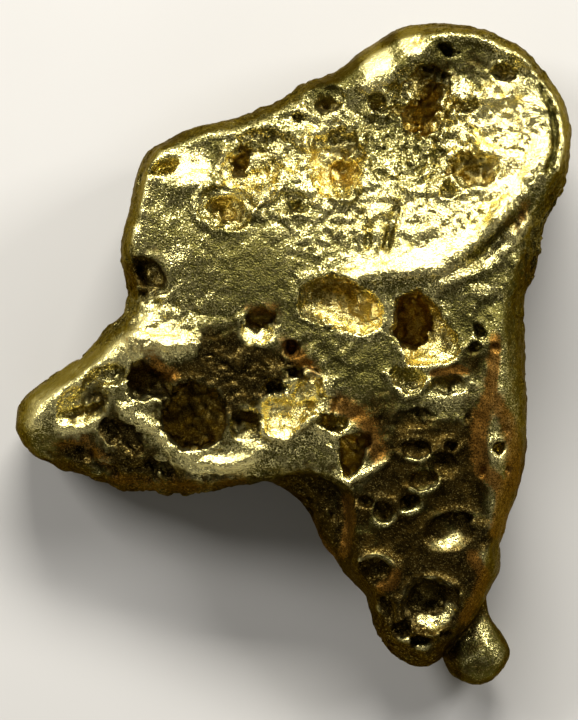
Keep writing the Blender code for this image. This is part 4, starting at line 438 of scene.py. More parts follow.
# Painted highlights, where an edge or a wall gleams: width, how much, and the points it runs through.
PAINTED_HIGHLIGHTS = [
    # The left edge and the shoulder's walls.
    (0.07, 1.2, [(-2.82, 3.98), (-2.94, 3.74)]), (0.09, 1.3, [(-3.08, 3.46), (-3.14, 3.1), (-3.18, 2.78)]),
    (0.09, 1.1, [(-3.32, 2.42), (-3.34, 2.2)]), (0.18, 1.5, [(-2.32, 3.6), (-1.98, 3.68)]),
    (0.1, 1.3, [(-1.5, 3.92), (-1.5, 3.6), (-1.44, 3.3)]), (0.1, 0.8, [(-1.4, 3.2), (-1.1, 3.0)]),
    (0.11, 1.3, [(-0.8, 2.98), (-0.62, 3.1), (-0.5, 3.26)]),
    (0.09, 1.2, [(0.18, 4.4), (0.08, 4.16), (0.12, 3.96)]),
    (0.09, 1.2, [(0.28, 3.92), (0.34, 3.56), (0.48, 3.22)]), (0.1, 0.8, [(-2.56, 1.84), (-2.44, 1.92)]),
    (0.1, 1.0, [(-1.46, 4.34), (-1.1, 4.24), (-0.86, 4.28)]),
    # The head's rim, its two broad painted highlights, its basin and the lip below.
    (0.22, 2.2, [(1.5, 5.66), (1.78, 5.94)]), (0.17, 2.2, [(2.14, 6.14), (2.34, 6.22)]),
    (0.09, 0.9, [(2.6, 6.36), (3.2, 6.38), (3.74, 6.28)]),
    (0.07, 1.2, [(3.9, 6.16), (4.3, 5.94), (4.6, 5.66)]),
    (0.06, 1.3, [(4.98, 5.36), (5.18, 4.96), (5.29, 4.5), (5.28, 4.0), (5.16, 3.6)]),
    (0.16, 1.0, [(3.9, 5.1), (4.2, 5.14)]), (0.14, 0.9, [(3.14, 5.1), (3.3, 5.2)]),
    (0.22, 1.4, [(4.66, 3.95), (4.46, 3.66), (4.09, 3.18), (3.8, 2.8)]),
    (0.18, 1.6, [(3.8, 2.76), (3.39, 2.35), (2.99, 2.05), (2.69, 1.83), (2.1, 1.76), (1.5, 1.66),
        (1.1, 1.64)]),
    (0.12, 1.0, [(4.4, 2.46), (4.06, 2.12), (3.7, 1.82)]),
    (0.12, 1.0, [(3.46, 1.7), (3.1, 1.5), (2.9, 1.42)]), (0.1, 0.6, [(3.5, 1.16), (3.8, 1.2), (4.0, 1.04)]),
    # The middle.
    (0.1, 1.2, [(-1.04, 0.3), (-0.82, 0.2), (-0.6, 0.3)]),
    (0.1, 1.2, [(0.14, 0.8), (0.5, 0.7), (1.0, 0.4), (1.3, 0.34)]), (0.07, 1.1, [(1.46, 0.42), (1.6, 0.7)]),
    (0.07, 1.2, [(2.0, 0.1), (2.14, -0.16), (2.3, -0.3)]),
    (0.04, 1.2, [(3.42, 0.26), (3.6, 0.3), (3.72, 0.18)]), (0.04, 1.0, [(3.6, 0.46), (3.62, 0.12)]),
    (0.1, 1.0, [(2.4, -0.26), (2.9, -0.22)]), (0.24, 1.5, [(-0.5, -1.2), (-0.2, -1.1), (0.2, -0.8)]),
    (0.1, 1.3, [(-0.7, -1.64), (-0.3, -1.72), (0.06, -1.46)]),
    (0.07, 1.0, [(0.36, -1.66), (0.62, -1.74), (0.86, -1.6)]),
    (0.08, 1.3, [(1.76, -0.52), (2.12, -0.88), (2.5, -0.62)]),
    (0.12, 0.9, [(2.74, -0.98), (3.06, -1.02), (3.2, -0.9)]),
    # The tongue.
    (0.16, 1.6, [(-3.36, -0.06), (-3.64, 0.02), (-4.04, -0.08), (-4.46, -0.36), (-4.92, -0.68),
        (-5.28, -1.0), (-5.42, -1.4)]),
    (0.2, 1.2, [(-3.3, 0.26), (-2.9, 0.1), (-2.5, 0.04), (-2.26, 0.12)]),
    (0.1, 0.9, [(-4.84, -1.52), (-4.5, -1.62), (-4.2, -1.44)]),
    (0.1, 1.1, [(-3.46, -1.2), (-3.0, -1.54), (-2.66, -1.9)]), (0.16, 1.3, [(-2.2, -2.16), (-1.9, -2.3)]),
    (0.18, 1.3, [(-1.5, -2.3), (-1.1, -2.22)]), (0.06, 0.8, [(-4.04, -0.68), (-3.8, -0.6)]),
    (0.08, 0.8, [(-0.96, -2.0), (-0.8, -1.86)]),
    # The leg.
    (0.09, 1.2, [(0.96, -2.6), (1.2, -2.52), (1.56, -2.28)]),
    (0.06, 1.0, [(2.14, -2.16), (2.4, -2.22), (2.62, -2.12)]),
    (0.06, 1.0, [(2.2, -2.8), (2.5, -2.84), (2.74, -2.7)]),
    (0.06, 1.0, [(2.06, -3.22), (2.24, -3.26), (2.38, -3.12)]),
    (0.06, 1.0, [(1.52, -3.46), (1.72, -3.52), (1.86, -3.36)]),
    (0.11, 0.8, [(2.66, -3.86), (2.9, -3.9), (3.24, -3.74)]),
    (0.08, 2.4, [(2.44, -5.42), (2.7, -5.46), (2.92, -5.36), (3.02, -5.18)]),
    (0.05, 1.2, [(1.56, -5.16), (1.62, -5.28)]), (0.07, 1.0, [(2.0, -5.76), (2.2, -5.82)]),
    (0.07, 1.0, [(2.4, -5.96), (2.58, -5.94)]),
    (0.05, 1.0, [(2.26, -5.44), (2.1, -5.2), (2.12, -4.84), (2.36, -4.62), (2.7, -4.58), (2.96, -4.72)]),
    (0.09, 1.1, [(4.06, -2.06), (3.9, -2.14)]), (0.07, 0.7, [(1.2, -4.2), (1.5, -4.1), (1.8, -4.26)]),
    (0.05, 0.6, [(-0.6, -2.52), (-0.2, -2.42), (0.3, -2.46), (0.7, -2.58), (0.96, -2.68)]),
    (0.06, 1.3, [(3.3, -5.86), (3.5, -5.74), (3.66, -5.5)]),
    (0.07, 1.3, [(3.72, -5.7), (3.94, -6.04), (4.04, -6.3)]),
    (0.04, 1.0, [(3.3, -6.3), (3.6, -6.1), (3.72, -6.24)]),
]
# Painted shade, where it is darker: width, how much, and the points it runs through.
PAINTED_SHADES = [
    (0.22, 1.4, [(0.5, 5.24), (1.16, 5.62)]), (0.14, 3.2, [(1.66, 6.4), (1.84, 6.08), (2.0, 5.76)]),
    (0.13, 1.8, [(1.02, 5.86), (1.2, 5.44)]), (0.16, 1.6, [(2.56, 6.2), (2.76, 5.96)]),
    (0.05, 1.6, [(4.78, 5.28), (4.98, 4.88), (5.08, 4.4), (5.06, 3.96), (4.92, 3.6)]),
    (0.12, 0.9, [(4.66, 3.1), (4.3, 2.7), (3.9, 2.24), (3.5, 1.9)]), (0.2, 0.8, [(5.06, 3.5), (4.94, 3.0)]),
    (0.24, 0.9, [(1.9, 5.5), (2.5, 5.8), (3.2, 6.0)]), (0.16, 0.8, [(1.2, 1.52), (1.8, 1.5)]),
    (0.2, 0.6, [(3.2, 0.6), (3.3, 0.2), (3.4, -0.2)]), (0.22, 0.7, [(1.1, 1.3), (1.3, 1.3)]),
    (0.2, 0.6, [(-3.0, 4.1), (-2.4, 4.3)]), (0.14, 0.8, [(-1.3, 4.14), (-0.8, 4.1)]),
    (0.1, 1.4, [(-1.72, 4.1), (-1.74, 3.7), (-1.72, 3.3)]),
    (0.12, 0.9, [(-2.6, 3.3), (-2.2, 3.1), (-1.9, 3.2)]), (0.3, 0.4, [(2.0, 4.4), (1.4, 4.6)]),
    (0.3, 0.4, [(1.9, 3.5), (2.5, 3.6)]), (0.3, 0.5, [(-2.6, 2.4), (-1.6, 2.0), (-0.6, 1.6), (0.0, 1.0)]),
]


def corner_gradients(seed, size=32):
    """Unit vectors at the corners of a repeating cube of cells."""
    vectors = np.random.default_rng(seed).normal(size=(size, size, size, 3)).astype(np.float32)
    return vectors / np.linalg.norm(vectors, axis=-1, keepdims=True)


def waves(points, wavelength, gradients):
    """Smooth random waves, from about -0.7 to 0.7, at points of shape (..., 3)."""
    place = points / np.float32(wavelength)
    cell = np.floor(place).astype(np.int32)
    part = (place - cell).astype(np.float32)
    ease = part * part * part * (part * (part * 6 - 15) + 10)
    size = len(gradients)
    total = np.zeros(part.shape[:-1], np.float32)
    for corner in np.ndindex(2, 2, 2):
        weight = np.ones_like(total)
        for axis, step in enumerate(corner):
            weight *= ease[..., axis] if step else 1 - ease[..., axis]
        at = (cell + np.array(corner, np.int32)) % size
        slope = gradients[at[..., 0], at[..., 1], at[..., 2]]
        total += weight * ((part - np.array(corner, np.float32)) * slope).sum(-1)
    return total


def smooth_loop(points, steps=6):
    """A smooth closed curve through the points, as many short straight runs."""
    here = np.array(points, float)
    before, after, beyond = np.roll(here, 1, 0), np.roll(here, -1, 0), np.roll(here, -2, 0)
    runs = []
    for step in range(steps):
        t = step / steps
        bend = 2 * before - 5 * here + 4 * after - beyond
        twist = 3 * here - before - 3 * after + beyond
        runs.append(here + 0.5 * ((after - before) * t + bend * t ** 2 + twist * t ** 3))
    return np.stack(runs, 1).reshape(-1, 2)


def run_distance(x, y, start, end):
    """Distance from (x, y) to a straight run."""
    along = np.subtract(end, start)
    t = np.clip(((x - start[0]) * along[0] + (y - start[1]) * along[1]) / max(along @ along, 1e-12), 0, 1)
    return np.hypot(x - start[0] - t * along[0], y - start[1] - t * along[1])


def path_distance(x, y, points):
    """Distance from (x, y) to an open path."""
    return np.minimum.reduce([run_distance(x, y, a, b) for a, b in zip(points, points[1:])])


def loop_distance(x, y, loop):
    """Distance from (x, y) to a closed path, negative inside it."""
    x, y = np.broadcast_arrays(x, y)
    nearest = np.full(x.shape, np.inf)
    inside = np.zeros(x.shape, bool)
    for start, end in zip(loop, np.roll(loop, -1, 0)):
        nearest = np.minimum(nearest, run_distance(x, y, start, end))
        if start[1] != end[1]:
            crossing = start[0] + (end[0] - start[0]) * (y - start[1]) / (end[1] - start[1])
            inside ^= ((start[1] > y) != (end[1] > y)) & (x < crossing)
    return np.where(inside, -nearest, nearest)


def blended(x, y, spots, reach):
    """The mean of the values at the spots, those near (x, y) counting most."""
    x, y = np.broadcast_arrays(x, y)
    total = np.zeros(x.shape)
    weights = np.zeros(x.shape)
    for spot_x, spot_y, value in spots:
        weight = np.exp(-((x - spot_x) ** 2 + (y - spot_y) ** 2) / (2 * reach ** 2)) + 1e-9
        total += weight * value
        weights += weight
    return total / weights


def smooth_max(a, b, rounding):
    """The larger of two fields, with the crease between them rounded."""
    overlap = np.maximum(rounding - np.abs(a - b), 0) / rounding
    return np.maximum(a, b) + overlap * overlap * rounding / 4


def smooth_min(a, b, rounding):
    """The smaller of two fields, with the crease between them filled."""
    return -smooth_max(-a, -b, rounding)


def rounded_slab(edge, shoulder, z, waist, top, bottom):
    """Distance to a body between a lower and an upper face, rounded over towards its edge, more so below."""
    below = np.clip(0.5 + (waist - z) / WAIST_BLEND, 0, 1)
    shoulder = shoulder * (1 + (UNDER_SHOULDER - 1) * below)
    outward = np.maximum(edge + shoulder, 0) / shoulder
    half = np.where(z > waist, top - waist, waist - bottom)
    upward = np.abs(z - waist) / half
    level = np.hypot(outward, upward)
    slope = np.hypot(outward / shoulder, upward / half)
    return level * (level - 1) / np.maximum(slope, 1e-6)


class Plan:
    """The heights and the edge of the nugget at each place (x, y) of a flat grid."""

    def __init__(self, x, y):
        self.edge = loop_distance(x, y, smooth_loop(OUTLINE))
        self.web_edge = loop_distance(x, y, smooth_loop(WEB_OUTLINE))
        self.waist = blended(x, y, WAIST_SPOTS, WAIST_REACH)
        self.shoulder = blended(x, y, SHOULDER_SPOTS, SHOULDER_REACH)
        self.bottom = blended(x, y, BOTTOM_SPOTS, BOTTOM_REACH)
        for height, width, path in FOLDS:
            self.bottom -= height * np.exp(-(path_distance(x, y, path) / width) ** 2)
        self.top = blended(x, y, TOP_SPOTS, TOP_REACH)
        for height, width, path in RIDGES:
            self.top += height * np.exp(-(path_distance(x, y, path) / width) ** 2)
        for cavity_x, cavity_y, length, width, turn, *_, lip in CAVITIES:
            angle = math.radians(turn)
            along = (x - cavity_x) * math.cos(angle) + (y - cavity_y) * math.sin(angle)
            across = (y - cavity_y) * math.cos(angle) - (x - cavity_x) * math.sin(angle)
            self.raise_lip((np.hypot(along / length, across / width) - 1) * min(length, width), lip)
        for _, _, lip, mouth in ANGULAR_CAVITIES:
            self.raise_lip(loop_distance(x, y, smooth_loop(mouth, 3)), lip)
        self.crumble = blended(x, y, CRUMBLE_SPOTS, CRUMBLE_REACH)
        self.outward = np.clip((self.edge + self.shoulder) / self.shoulder, 0, STEEPEST_SHARE)
        self.upper_face = self.waist + (self.top - self.waist) * np.sqrt(1 - self.outward ** 2)

    def raise_lip(self, from_mouth, height):
        """Raises a low ring just outside a cavity's mouth."""
        self.top += height * np.exp(-((from_mouth / LIP_SPREAD - 0.5) ** 2))


class Block:
    """A block of space on an even grid, with the field of the nugget in it."""

    def __init__(self, cell):
        low = np.min(OUTLINE, 0) - MARGIN
        high = np.max(OUTLINE, 0) + MARGIN
        low[1] = BEAD[1] - BEAD[3] - MARGIN
        self.cell = cell
        self.axes = [np.arange(start, stop, cell, dtype=np.float32)
                     for start, stop in zip((*low, -MARGIN), (*high, HIGHEST))]
        self.x, self.y, self.z = self.axes
        self.plan = Plan(self.x[:, None], self.y[None, :])
        self.field = self.body()
        self.add_waves()
        self.uncut = self.field.copy()
        self.cut_cavities()
        self.crumble()
        self.wear_flat()

    def body(self):
        """The body, the web, and the bead with its horn, joined."""
        plan, z = self.plan, self.z
        edge, shoulder, waist, top, bottom, web_edge = [
            flat[..., None].astype(np.float32)
            for flat in (plan.edge, plan.shoulder, plan.waist, plan.top, plan.bottom, plan.web_edge)]
        slab = rounded_slab(edge, shoulder, z, waist, top, bottom)
        web = rounded_slab(web_edge, WEB_SHOULDER, z, (WEB_TOP + WEB_BOTTOM) / 2, WEB_TOP, WEB_BOTTOM)
        start, stop = np.array(BEAD[:3]), np.array(HORN_TIP[:3])
        offsets = [axis - c for axis, c in zip((self.x[:, None, None], self.y[None, :, None], z), start)]
        run = stop - start
        along = np.clip(sum(offset * part for offset, part in zip(offsets, run)) / (run @ run), 0, 1)
        nearest = np.sqrt(sum((offset - along * part) ** 2 for offset, part in zip(offsets, run)))
        tapered = along * along * (3 - 2 * along)
        bead = nearest - (BEAD[3] + (HORN_TIP[3] - BEAD[3]) * tapered)
        return smooth_min(smooth_min(slab, web, BODY_ROUNDING), bead, BODY_ROUNDING / 3).astype(np.float32)

    def above_waist(self, points, at):
        """0 below the widest level, 1 above it, and eased in between."""
        return np.clip((points[:, 2] - self.plan.waist[at[:2]]) / WAIST_BLEND + 0.5, 0, 1)

    def add_waves(self):
        """Swells and dips the surface, most on the underside."""
        near = np.abs(self.field) < NEAR_SURFACE
        at = np.nonzero(near)
        points = np.stack([axis[i] for axis, i in zip(self.axes, at)], -1)
        side = self.plan.outward[at[:2]] ** 2
        above = self.above_waist(points, at)
        change = np.zeros(len(points))
        for number, (wavelength, upper, middle, lower) in enumerate(LUMPS):
            height = side * middle + (1 - side) * (above * upper + (1 - above) * lower)
            change += height * waves(points, wavelength, corner_gradients(LUMP_SEED + number))
        fade = np.clip((NEAR_SURFACE - np.abs(self.field[near])) / (NEAR_SURFACE / 2), 0, 1)
        self.field[near] -= (change * fade).astype(np.float32)

    def crumble(self):
        """Roughens the surface in its crumbly places and inside the cavities."""
        near = np.abs(self.field) < NEAR_SURFACE / 2
        at = np.nonzero(near)
        points = np.stack([axis[i] for axis, i in zip(self.axes, at)], -1)
        above = self.above_waist(points, at)
        inside = np.clip(-self.uncut[near] / INSIDE_DEPTH, 0, 1)
        amount = above * self.plan.crumble[at[:2]] + (1 - above) * CRUMBLE_BELOW + inside * CRUMBLE_INSIDE
        change = 0.0
        for number, (wavelength, height) in enumerate(CRUMBS):
            wave = waves(points, wavelength, corner_gradients(CRUMB_SEED + number))
            change += height * (np.abs(wave) * 2 - CRUMB_MEAN)
        fade = np.clip((NEAR_SURFACE / 2 - np.abs(self.field[near])) / (NEAR_SURFACE / 4), 0, 1)
        self.field[near] -= (amount * change * fade).astype(np.float32)

    def at(self, x, y):
        """The place of (x, y) in the plan's grids."""
        return int(round((x - self.x[0]) / self.cell)), int(round((y - self.y[0]) / self.cell))

    def outward(self, x, y, step=0.3):
        """The direction out of the upper face at (x, y), half way to straight up."""
        face = self.plan.upper_face
        slope_x = (face[self.at(x + step, y)] - face[self.at(x - step, y)]) / (2 * step)
        slope_y = (face[self.at(x, y + step)] - face[self.at(x, y - step)]) / (2 * step)
        normal = np.array((-slope_x / 2, -slope_y / 2, 1.0))
        return normal / np.linalg.norm(normal)

    def box(self, low, high):
        """The part of the grid between two corners, and its points, each shifted a little at random."""
        part = tuple(slice(*np.searchsorted(axis, (a, b))) for axis, a, b in zip(self.axes, low, high))
        points = np.stack(np.meshgrid(*[axis[cut] for axis, cut in zip(self.axes, part)], indexing="ij"), -1)
        shift = np.zeros_like(points)
        for number, (wavelength, reach) in enumerate(CAVITY_WANDER):
            for axis in range(3):
                gradients = corner_gradients(WANDER_SEED + 3 * number + axis)
                shift[..., axis] += reach * waves(points, wavelength, gradients)
        return part, points, shift

    def dig(self, centre, normal, length, width, turn, depth, bulge):
        """Takes an egg-shaped cavity out, its mouth at the centre and facing along the normal."""
        reach = max(length, width, depth) * EGG_REACH + EGG_EDGE
        part, points, shift = self.box(centre - reach, centre + reach)
        roughness = self.plan.crumble[self.at(*centre[:2])]
        place = points - centre + shift * min(1.0, width / WANDER_WIDTH) * (LEAST_WANDER + roughness)
        start = np.array((0.0, 0.0, 1.0) if abs(normal[0]) > 0.8 else (1.0, 0.0, 0.0))
        start -= normal * (normal @ start)
        start /= np.linalg.norm(start)
        side = np.cross(normal, start)
        angle = math.radians(turn)
        long_way = math.cos(angle) * start + math.sin(angle) * side
        wide_way = math.cos(angle) * side - math.sin(angle) * start
        half = depth / (1 + bulge)
        widening = 1 / math.sqrt(1 - bulge ** 2)
        sizes = np.array((length * widening, width * widening, half))
        local = np.stack([place @ long_way, place @ wide_way, place @ normal + bulge * half], -1) / sizes
        level = np.linalg.norm(local, axis=-1)
        distance = level * (level - 1) / np.maximum(np.linalg.norm(local / sizes, axis=-1), 1e-6)
        self.field[part] = smooth_max(self.field[part], -distance.astype(np.float32), LIP_ROUNDING)

    def dig_angular(self, depth, slope, mouth):
        """Takes out a cavity with steep walls below the mouth's outline, and a sloping floor."""
        x, y = np.mean(mouth, 0)
        level = self.plan.upper_face[self.at(x, y)]
        low = (*(np.min(mouth, 0) - ANGULAR_REACH), level - depth - 2 * ANGULAR_REACH)
        high = (*(np.max(mouth, 0) + ANGULAR_REACH), HIGHEST)
        part, points, shift = self.box(low, high)
        points += shift * ANGULAR_WANDER
        wall = loop_distance(points[..., 0], points[..., 1], smooth_loop(mouth, 2))
        floor = level - depth + slope[0] * (points[..., 0] - x) + slope[1] * (points[..., 1] - y)
        distance = smooth_max(wall, floor - points[..., 2], FLOOR_ROUNDING)
        self.field[part] = smooth_max(self.field[part], -distance.astype(np.float32), LIP_ROUNDING)

    def cut_cavities(self):
        """Takes out every cavity."""
        for x, y, *shape, _ in CAVITIES:
            self.dig(np.array((x, y, self.plan.upper_face[self.at(x, y)])), self.outward(x, y), *shape)
        for depth, slope, _, mouth in ANGULAR_CAVITIES:
            self.dig_angular(depth, slope, mouth)
        for x, y, z, *shape in HIDDEN_CAVITIES:
            spot, normal = self.on_surface(*self.at(x, y), int(round((z - self.z[0]) / self.cell)))
            self.dig(spot, normal, *shape)

    def on_surface(self, i, j, k, reach=3):
        """The point of the uncut surface nearest to a grid point close to it, and the direction out of it."""
        around = self.uncut[i - reach:i + reach + 1, j - reach:j + reach + 1, k - reach:k + reach + 1]
        normal = np.array([around[-1].mean() - around[0].mean(), around[:, -1].mean() - around[:, 0].mean(),
                           around[..., -1].mean() - around[..., 0].mean()])
        normal /= np.linalg.norm(normal)
        return np.array((self.x[i], self.y[j], self.z[k])) - normal * self.uncut[i, j, k], normal

    def wear_flat(self):
        """Takes off what lies below z = 0."""
        self.field = np.maximum(self.field, -self.z)

    def surface(self):
        """Points and four-sided faces of the surface, without closed bubbles and loose crumbs."""
        grid = openvdb.FloatGrid(1.0)
        grid.copyFromArray(self.field)
        points, quads = grid.convertToQuads(isovalue=0.0)
        label = np.arange(len(points))
        edges = np.concatenate([quads[:, [i, (i + 1) % 4]] for i in range(4)]).astype(np.int64)
        while True:
            lowest = np.minimum(label[edges[:, 0]], label[edges[:, 1]])
            joined = label.copy()
            np.minimum.at(joined, edges[:, 0], lowest)
            np.minimum.at(joined, edges[:, 1], lowest)
            joined = joined[joined]
            if (joined == label).all():
                break
            label = joined
        names, counts = np.unique(label, return_counts=True)
        kept = label == names[np.argmax(counts)]
        number = np.cumsum(kept) - 1
        quads = number[quads[kept[quads[:, 0]]]]
        points = points[kept] * self.cell + np.array([axis[0] for axis in self.axes])
        return points, quads


class Value:
    """A number that changes over a surface, used in plain arithmetic, which adds Math nodes."""

    def __init__(self, finish, socket):
        self.finish = finish
        self.socket = socket

    def maths(self, operation, first, second):
        """The result of a Math node."""
        made = self.finish.node("ShaderNodeMath", {"operation": operation}, n0=first, n1=second)
        return Value(self.finish, made.outputs[0])

    def __add__(self, other):
        return self.maths("ADD", self, other)

    def __radd__(self, other):
        return self.maths("ADD", other, self)

    def __sub__(self, other):
        return self.maths("SUBTRACT", self, other)

    def __rsub__(self, other):
        return self.maths("SUBTRACT", other, self)

    def __mul__(self, other):
        return self.maths("MULTIPLY", self, other)

    def __rmul__(self, other):
        return self.maths("MULTIPLY", other, self)

    def at_least(self, least):
        """The value, but nowhere below the least."""
        return self.maths("MAXIMUM", self, least)

    def at_most(self, most):
        """The value, but nowhere above the most."""
        return self.maths("MINIMUM", self, most)

    def between(self, low, high):
        """0 at low, 1 at high, eased in between."""
        made = self.finish.node("ShaderNodeMapRange", {"interpolation_type": "SMOOTHSTEP"},
                                Value=self, From_Min=low, From_Max=high)
        return Value(self.finish, made.outputs["Result"])


class Finish:
    """A material and its nodes."""

    def __init__(self, name):
        self.material = bpy.data.materials.new(name)
        self.material.use_nodes = True
        self.tree = self.material.node_tree
        self.tree.nodes.clear()
        self.place = self.node("ShaderNodeTexCoord").outputs["Object"]

    def node(self, kind, settings=None, **inputs):
        """A new node: its settings, then its sockets, by name with _ for a space, or by n and a number."""
        made = self.tree.nodes.new(kind)
        for name, value in (settings or {}).items():
            setattr(made, name, value)
        for name, value in inputs.items():
            numbered = name[0] == "n" and name[1:].isdigit()
            socket = made.inputs[int(name[1:]) if numbered else name.replace("_", " ")]
            if isinstance(value, Value):
                value = value.socket
            if isinstance(value, bpy.types.NodeSocket):
                self.tree.links.new(value, socket)
            else:
                socket.default_value = value
        return made

    def noise(self, size, detail, roughness, warp=0.0):
        """Random values from 0 to 1 that change over this size, in millimetres."""
        made = self.node("ShaderNodeTexNoise", Vector=self.place, Scale=1 / (size * MM), Detail=detail,
                         Roughness=roughness, Distortion=warp)
        return Value(self, made.outputs["Fac"])

    def cells(self, size):
        """The distance from the middle of the nearest of many grains of this size, as a share of the size."""
        made = self.node("ShaderNodeTexVoronoi", Vector=self.place, Scale=1 / (size * MM))
        return Value(self, made.outputs["Distance"])

    def attribute(self, name):
        """A value stored on the mesh."""
        return Value(self, self.node("ShaderNodeAttribute", {"attribute_name": name}).outputs["Fac"])

    def mix(self, factor, first, second):
        """A colour between two."""
        return self.node("ShaderNodeMix", {"data_type": "RGBA"}, n0=factor, n6=first, n7=second).outputs[2]

    def bump(self, height, distance):
        """The surface's direction after raising it by height times a distance in millimetres."""
        made = self.node("ShaderNodeBump", Height=height, Distance=distance * MM, Strength=1.0)
        return made.outputs["Normal"]

    def surface(self, **inputs):
        """Ends the material in a Principled shader with these inputs."""
        shader = self.node("ShaderNodeBsdfPrincipled", **inputs)
        self.node("ShaderNodeOutputMaterial", Surface=shader.outputs[0])
        return self.material


def gold_finish():
    """Worn native gold: bright on crests, olive on flats, amber in pits, brown and rusty in places, with
    painted highlights and painted shade laid into its colour.
    """
    f = Finish("gold")
    hollow, crest, steep = f.attribute("hollow"), f.attribute("crest"), f.attribute("steep")
    stain, worn_and_painted_light, rust = f.attribute("stain"), f.attribute("worn_and_painted_light"), f.attribute("rust")
    # Random values around 0, from the finest to the broadest.
    speck = f.noise(0.03, 1.0, 0.5) - 0.5
    grain = f.noise(0.06, 2.0, 0.6) - 0.5
    pores = f.noise(0.18, 3.0, 0.6, 0.3) - 0.5
    blotch = f.noise(0.42, 4.0, 0.65) - 0.5
    cloud = f.noise(1.3, 4.0, 0.6) - 0.5
    facets = f.cells(0.06)
    fleck = speck * 3.2 + grain * 2.2
    patch = cloud * 0.9 + blotch * 1.5 + pores * 1.4
    # Where each state of the surface is found, from 0 to 1.
    # worn_and_painted_light holds the worn shine, the painted highlights and the painted shade.
    calm = worn_and_painted_light.between(0.35, 1.3)
    # How bright the face gold is painted: random tone, wear on crests, painted highlight and painted shade
    # from the marks, and painted shade on steep places.
    polish_and_sheen = (worn_and_painted_light + crest * 0.7 - steep * 0.6 + patch + fleck * (1.45 - calm * 0.65)).between(-0.36, 1.04)
    lit_side = (worn_and_painted_light * 0.5 + patch * 1.2 + fleck * 0.9).between(-0.5, 1.0)
    # Hollows and deep hollows are painted amber, partly for iron stain and partly as painted warm reflection,
    # and darker in deep ones as painted shade.
    sunk = (hollow + pores * 0.3).between(0.2, 0.55)
    deep = (hollow + pores * 0.4).between(0.4, 0.95)
    # The steep sides, where the gold is painted darker as shade, with lighter specks where lit_side is high.
    side = (steep + blotch * 0.5 + grain * 0.4).between(0.25, 0.7)
    glint = (speck + grain * 0.6).between(0.1, 0.36)
    stain_edge = blotch * 1.2 + pores * 0.8 + fleck * 0.3
    brown = (stain * 1.8 - crest.at_least(-0.12) * 0.6 + stain_edge).between(0.25, 0.95)
    rust_edge = blotch * 0.9 + pores * 0.6 + fleck * 0.3
    ochre = (rust * 1.6 - crest * 0.2 + rust_edge).between(0.35, 1.1)
    pale = (pores * 2.2 + grain * 2.0).between(-0.6, 0.6)
    # The colour, laid on from the clean face to the rust, with its painted highlight, shade and warm
    # reflection.
    colour = f.mix(side * 0.9, f.mix(polish_and_sheen, *FACE_GOLD), f.mix(lit_side, *SHADED_STEEP_GOLD))
    colour = f.mix(sunk * 0.85, colour, f.mix(polish_and_sheen, *HOLLOW_AMBER_AND_REFLECTION))
    colour = f.mix(deep * 0.9, colour, f.mix(polish_and_sheen, *DEEP_AMBER_AND_SHADE))
    earth = f.mix(glint * (0.02 + polish_and_sheen * 0.6), f.mix(pale, *BROWN_EARTH), STAINED_GLINT)
    colour = f.mix(brown * (0.96 - sunk * 0.25), colour, earth)
    colour = f.mix(ochre * (0.95 - side * 0.45), colour, f.mix(fleck.between(-0.8, 0.8), *RUSTY_EARTH))
    dull = (brown * 0.7 + ochre * 0.9).at_most(1.0)
    roughness = 0.35 - polish_and_sheen * 0.1 + sunk * 0.04 + dull * 0.22
    relief = blotch * side * 2.0 + facets * 0.2 + speck * 0.5 + grain * 0.25 + pores * 0.3
    normal = f.bump(relief * (1.0 - polish_and_sheen * 0.35 - dull * 0.5), 0.048)
    return f.surface(Base_Color=colour, Metallic=1.0, Specular_Tint=GOLD_TINT, Roughness=roughness,
                     Normal=normal)


def floor_finish():
    """Pale matt paper."""
    f = Finish("pale_floor")
    return f.surface(Base_Color=f.mix(f.noise(6.0, 3.0, 0.5), *PAPER), Roughness=0.9)


def scatter_pits(block):
    """Digs small pits at random spots of the surface."""
    near = np.abs(block.uncut) < block.cell
    inner = slice(PIT_CLEARANCE, -PIT_CLEARANCE)
    spots = np.argwhere(near[inner, inner, inner]) + PIT_CLEARANCE
    for count, least, greatest, seed in SMALL_PITS:
        rng = np.random.default_rng(seed)
        if least > HIDDEN_PIT:
            spots = spots[block.z[spots[:, 2]] < block.plan.waist[spots[:, 0], spots[:, 1]]]
        for i, j, k in spots[rng.integers(0, len(spots), count)]:
            width = rng.uniform(least, greatest)
            length = width * rng.uniform(*PIT_LENGTH)
            turn = rng.uniform(0, 180)
            depth = width * rng.uniform(*PIT_DEPTH)
            block.dig(*block.on_surface(i, j, k, 2), length, width, turn, depth, rng.uniform(*PIT_BULGE))
    block.wear_flat()


def sampled(block, grid, points):
    """The grid's values at points, read between its corners."""
    place = (points - np.array([axis[0] for axis in block.axes])) / block.cell
    low = np.clip(np.floor(place).astype(int), 0, np.array(grid.shape) - 2)
    part = place - low
    total = np.zeros(len(points))
    for corner in np.ndindex(2, 2, 2):
        weight = np.prod(np.where(corner, part, 1 - part), axis=-1)
        total += weight * grid[tuple((low + corner).T)]
    return total


def listed(items, name, width, kind=float):
    """What a mesh's items hold under a name, as rows of this width."""
    values = np.empty(len(items) * width, kind)
    items.foreach_get(name, values)
    return values.reshape(-1, width)


def convexity(mesh):
    """How far each vertex stands out from the surface around it, near and wide, in millimetres."""
    points = listed(mesh.vertices, "co", 3) / MM
    normals = listed(mesh.vertices, "normal", 3)
    start, end = listed(mesh.edges, "vertices", 2, int).T
    count = len(points)
    degree = (np.bincount(start, minlength=count) + np.bincount(end, minlength=count))[:, None]
    found = []
    smooth = points.copy()
    for step in range(max(CREST_ROUNDS)):
        total = [np.bincount(start, axis[end], count) + np.bincount(end, axis[start], count)
                 for axis in smooth.T]
        smooth = np.stack(total, -1) / degree
        if step + 1 in CREST_ROUNDS:
            found.append(((points - smooth) * normals).sum(-1))
    return found


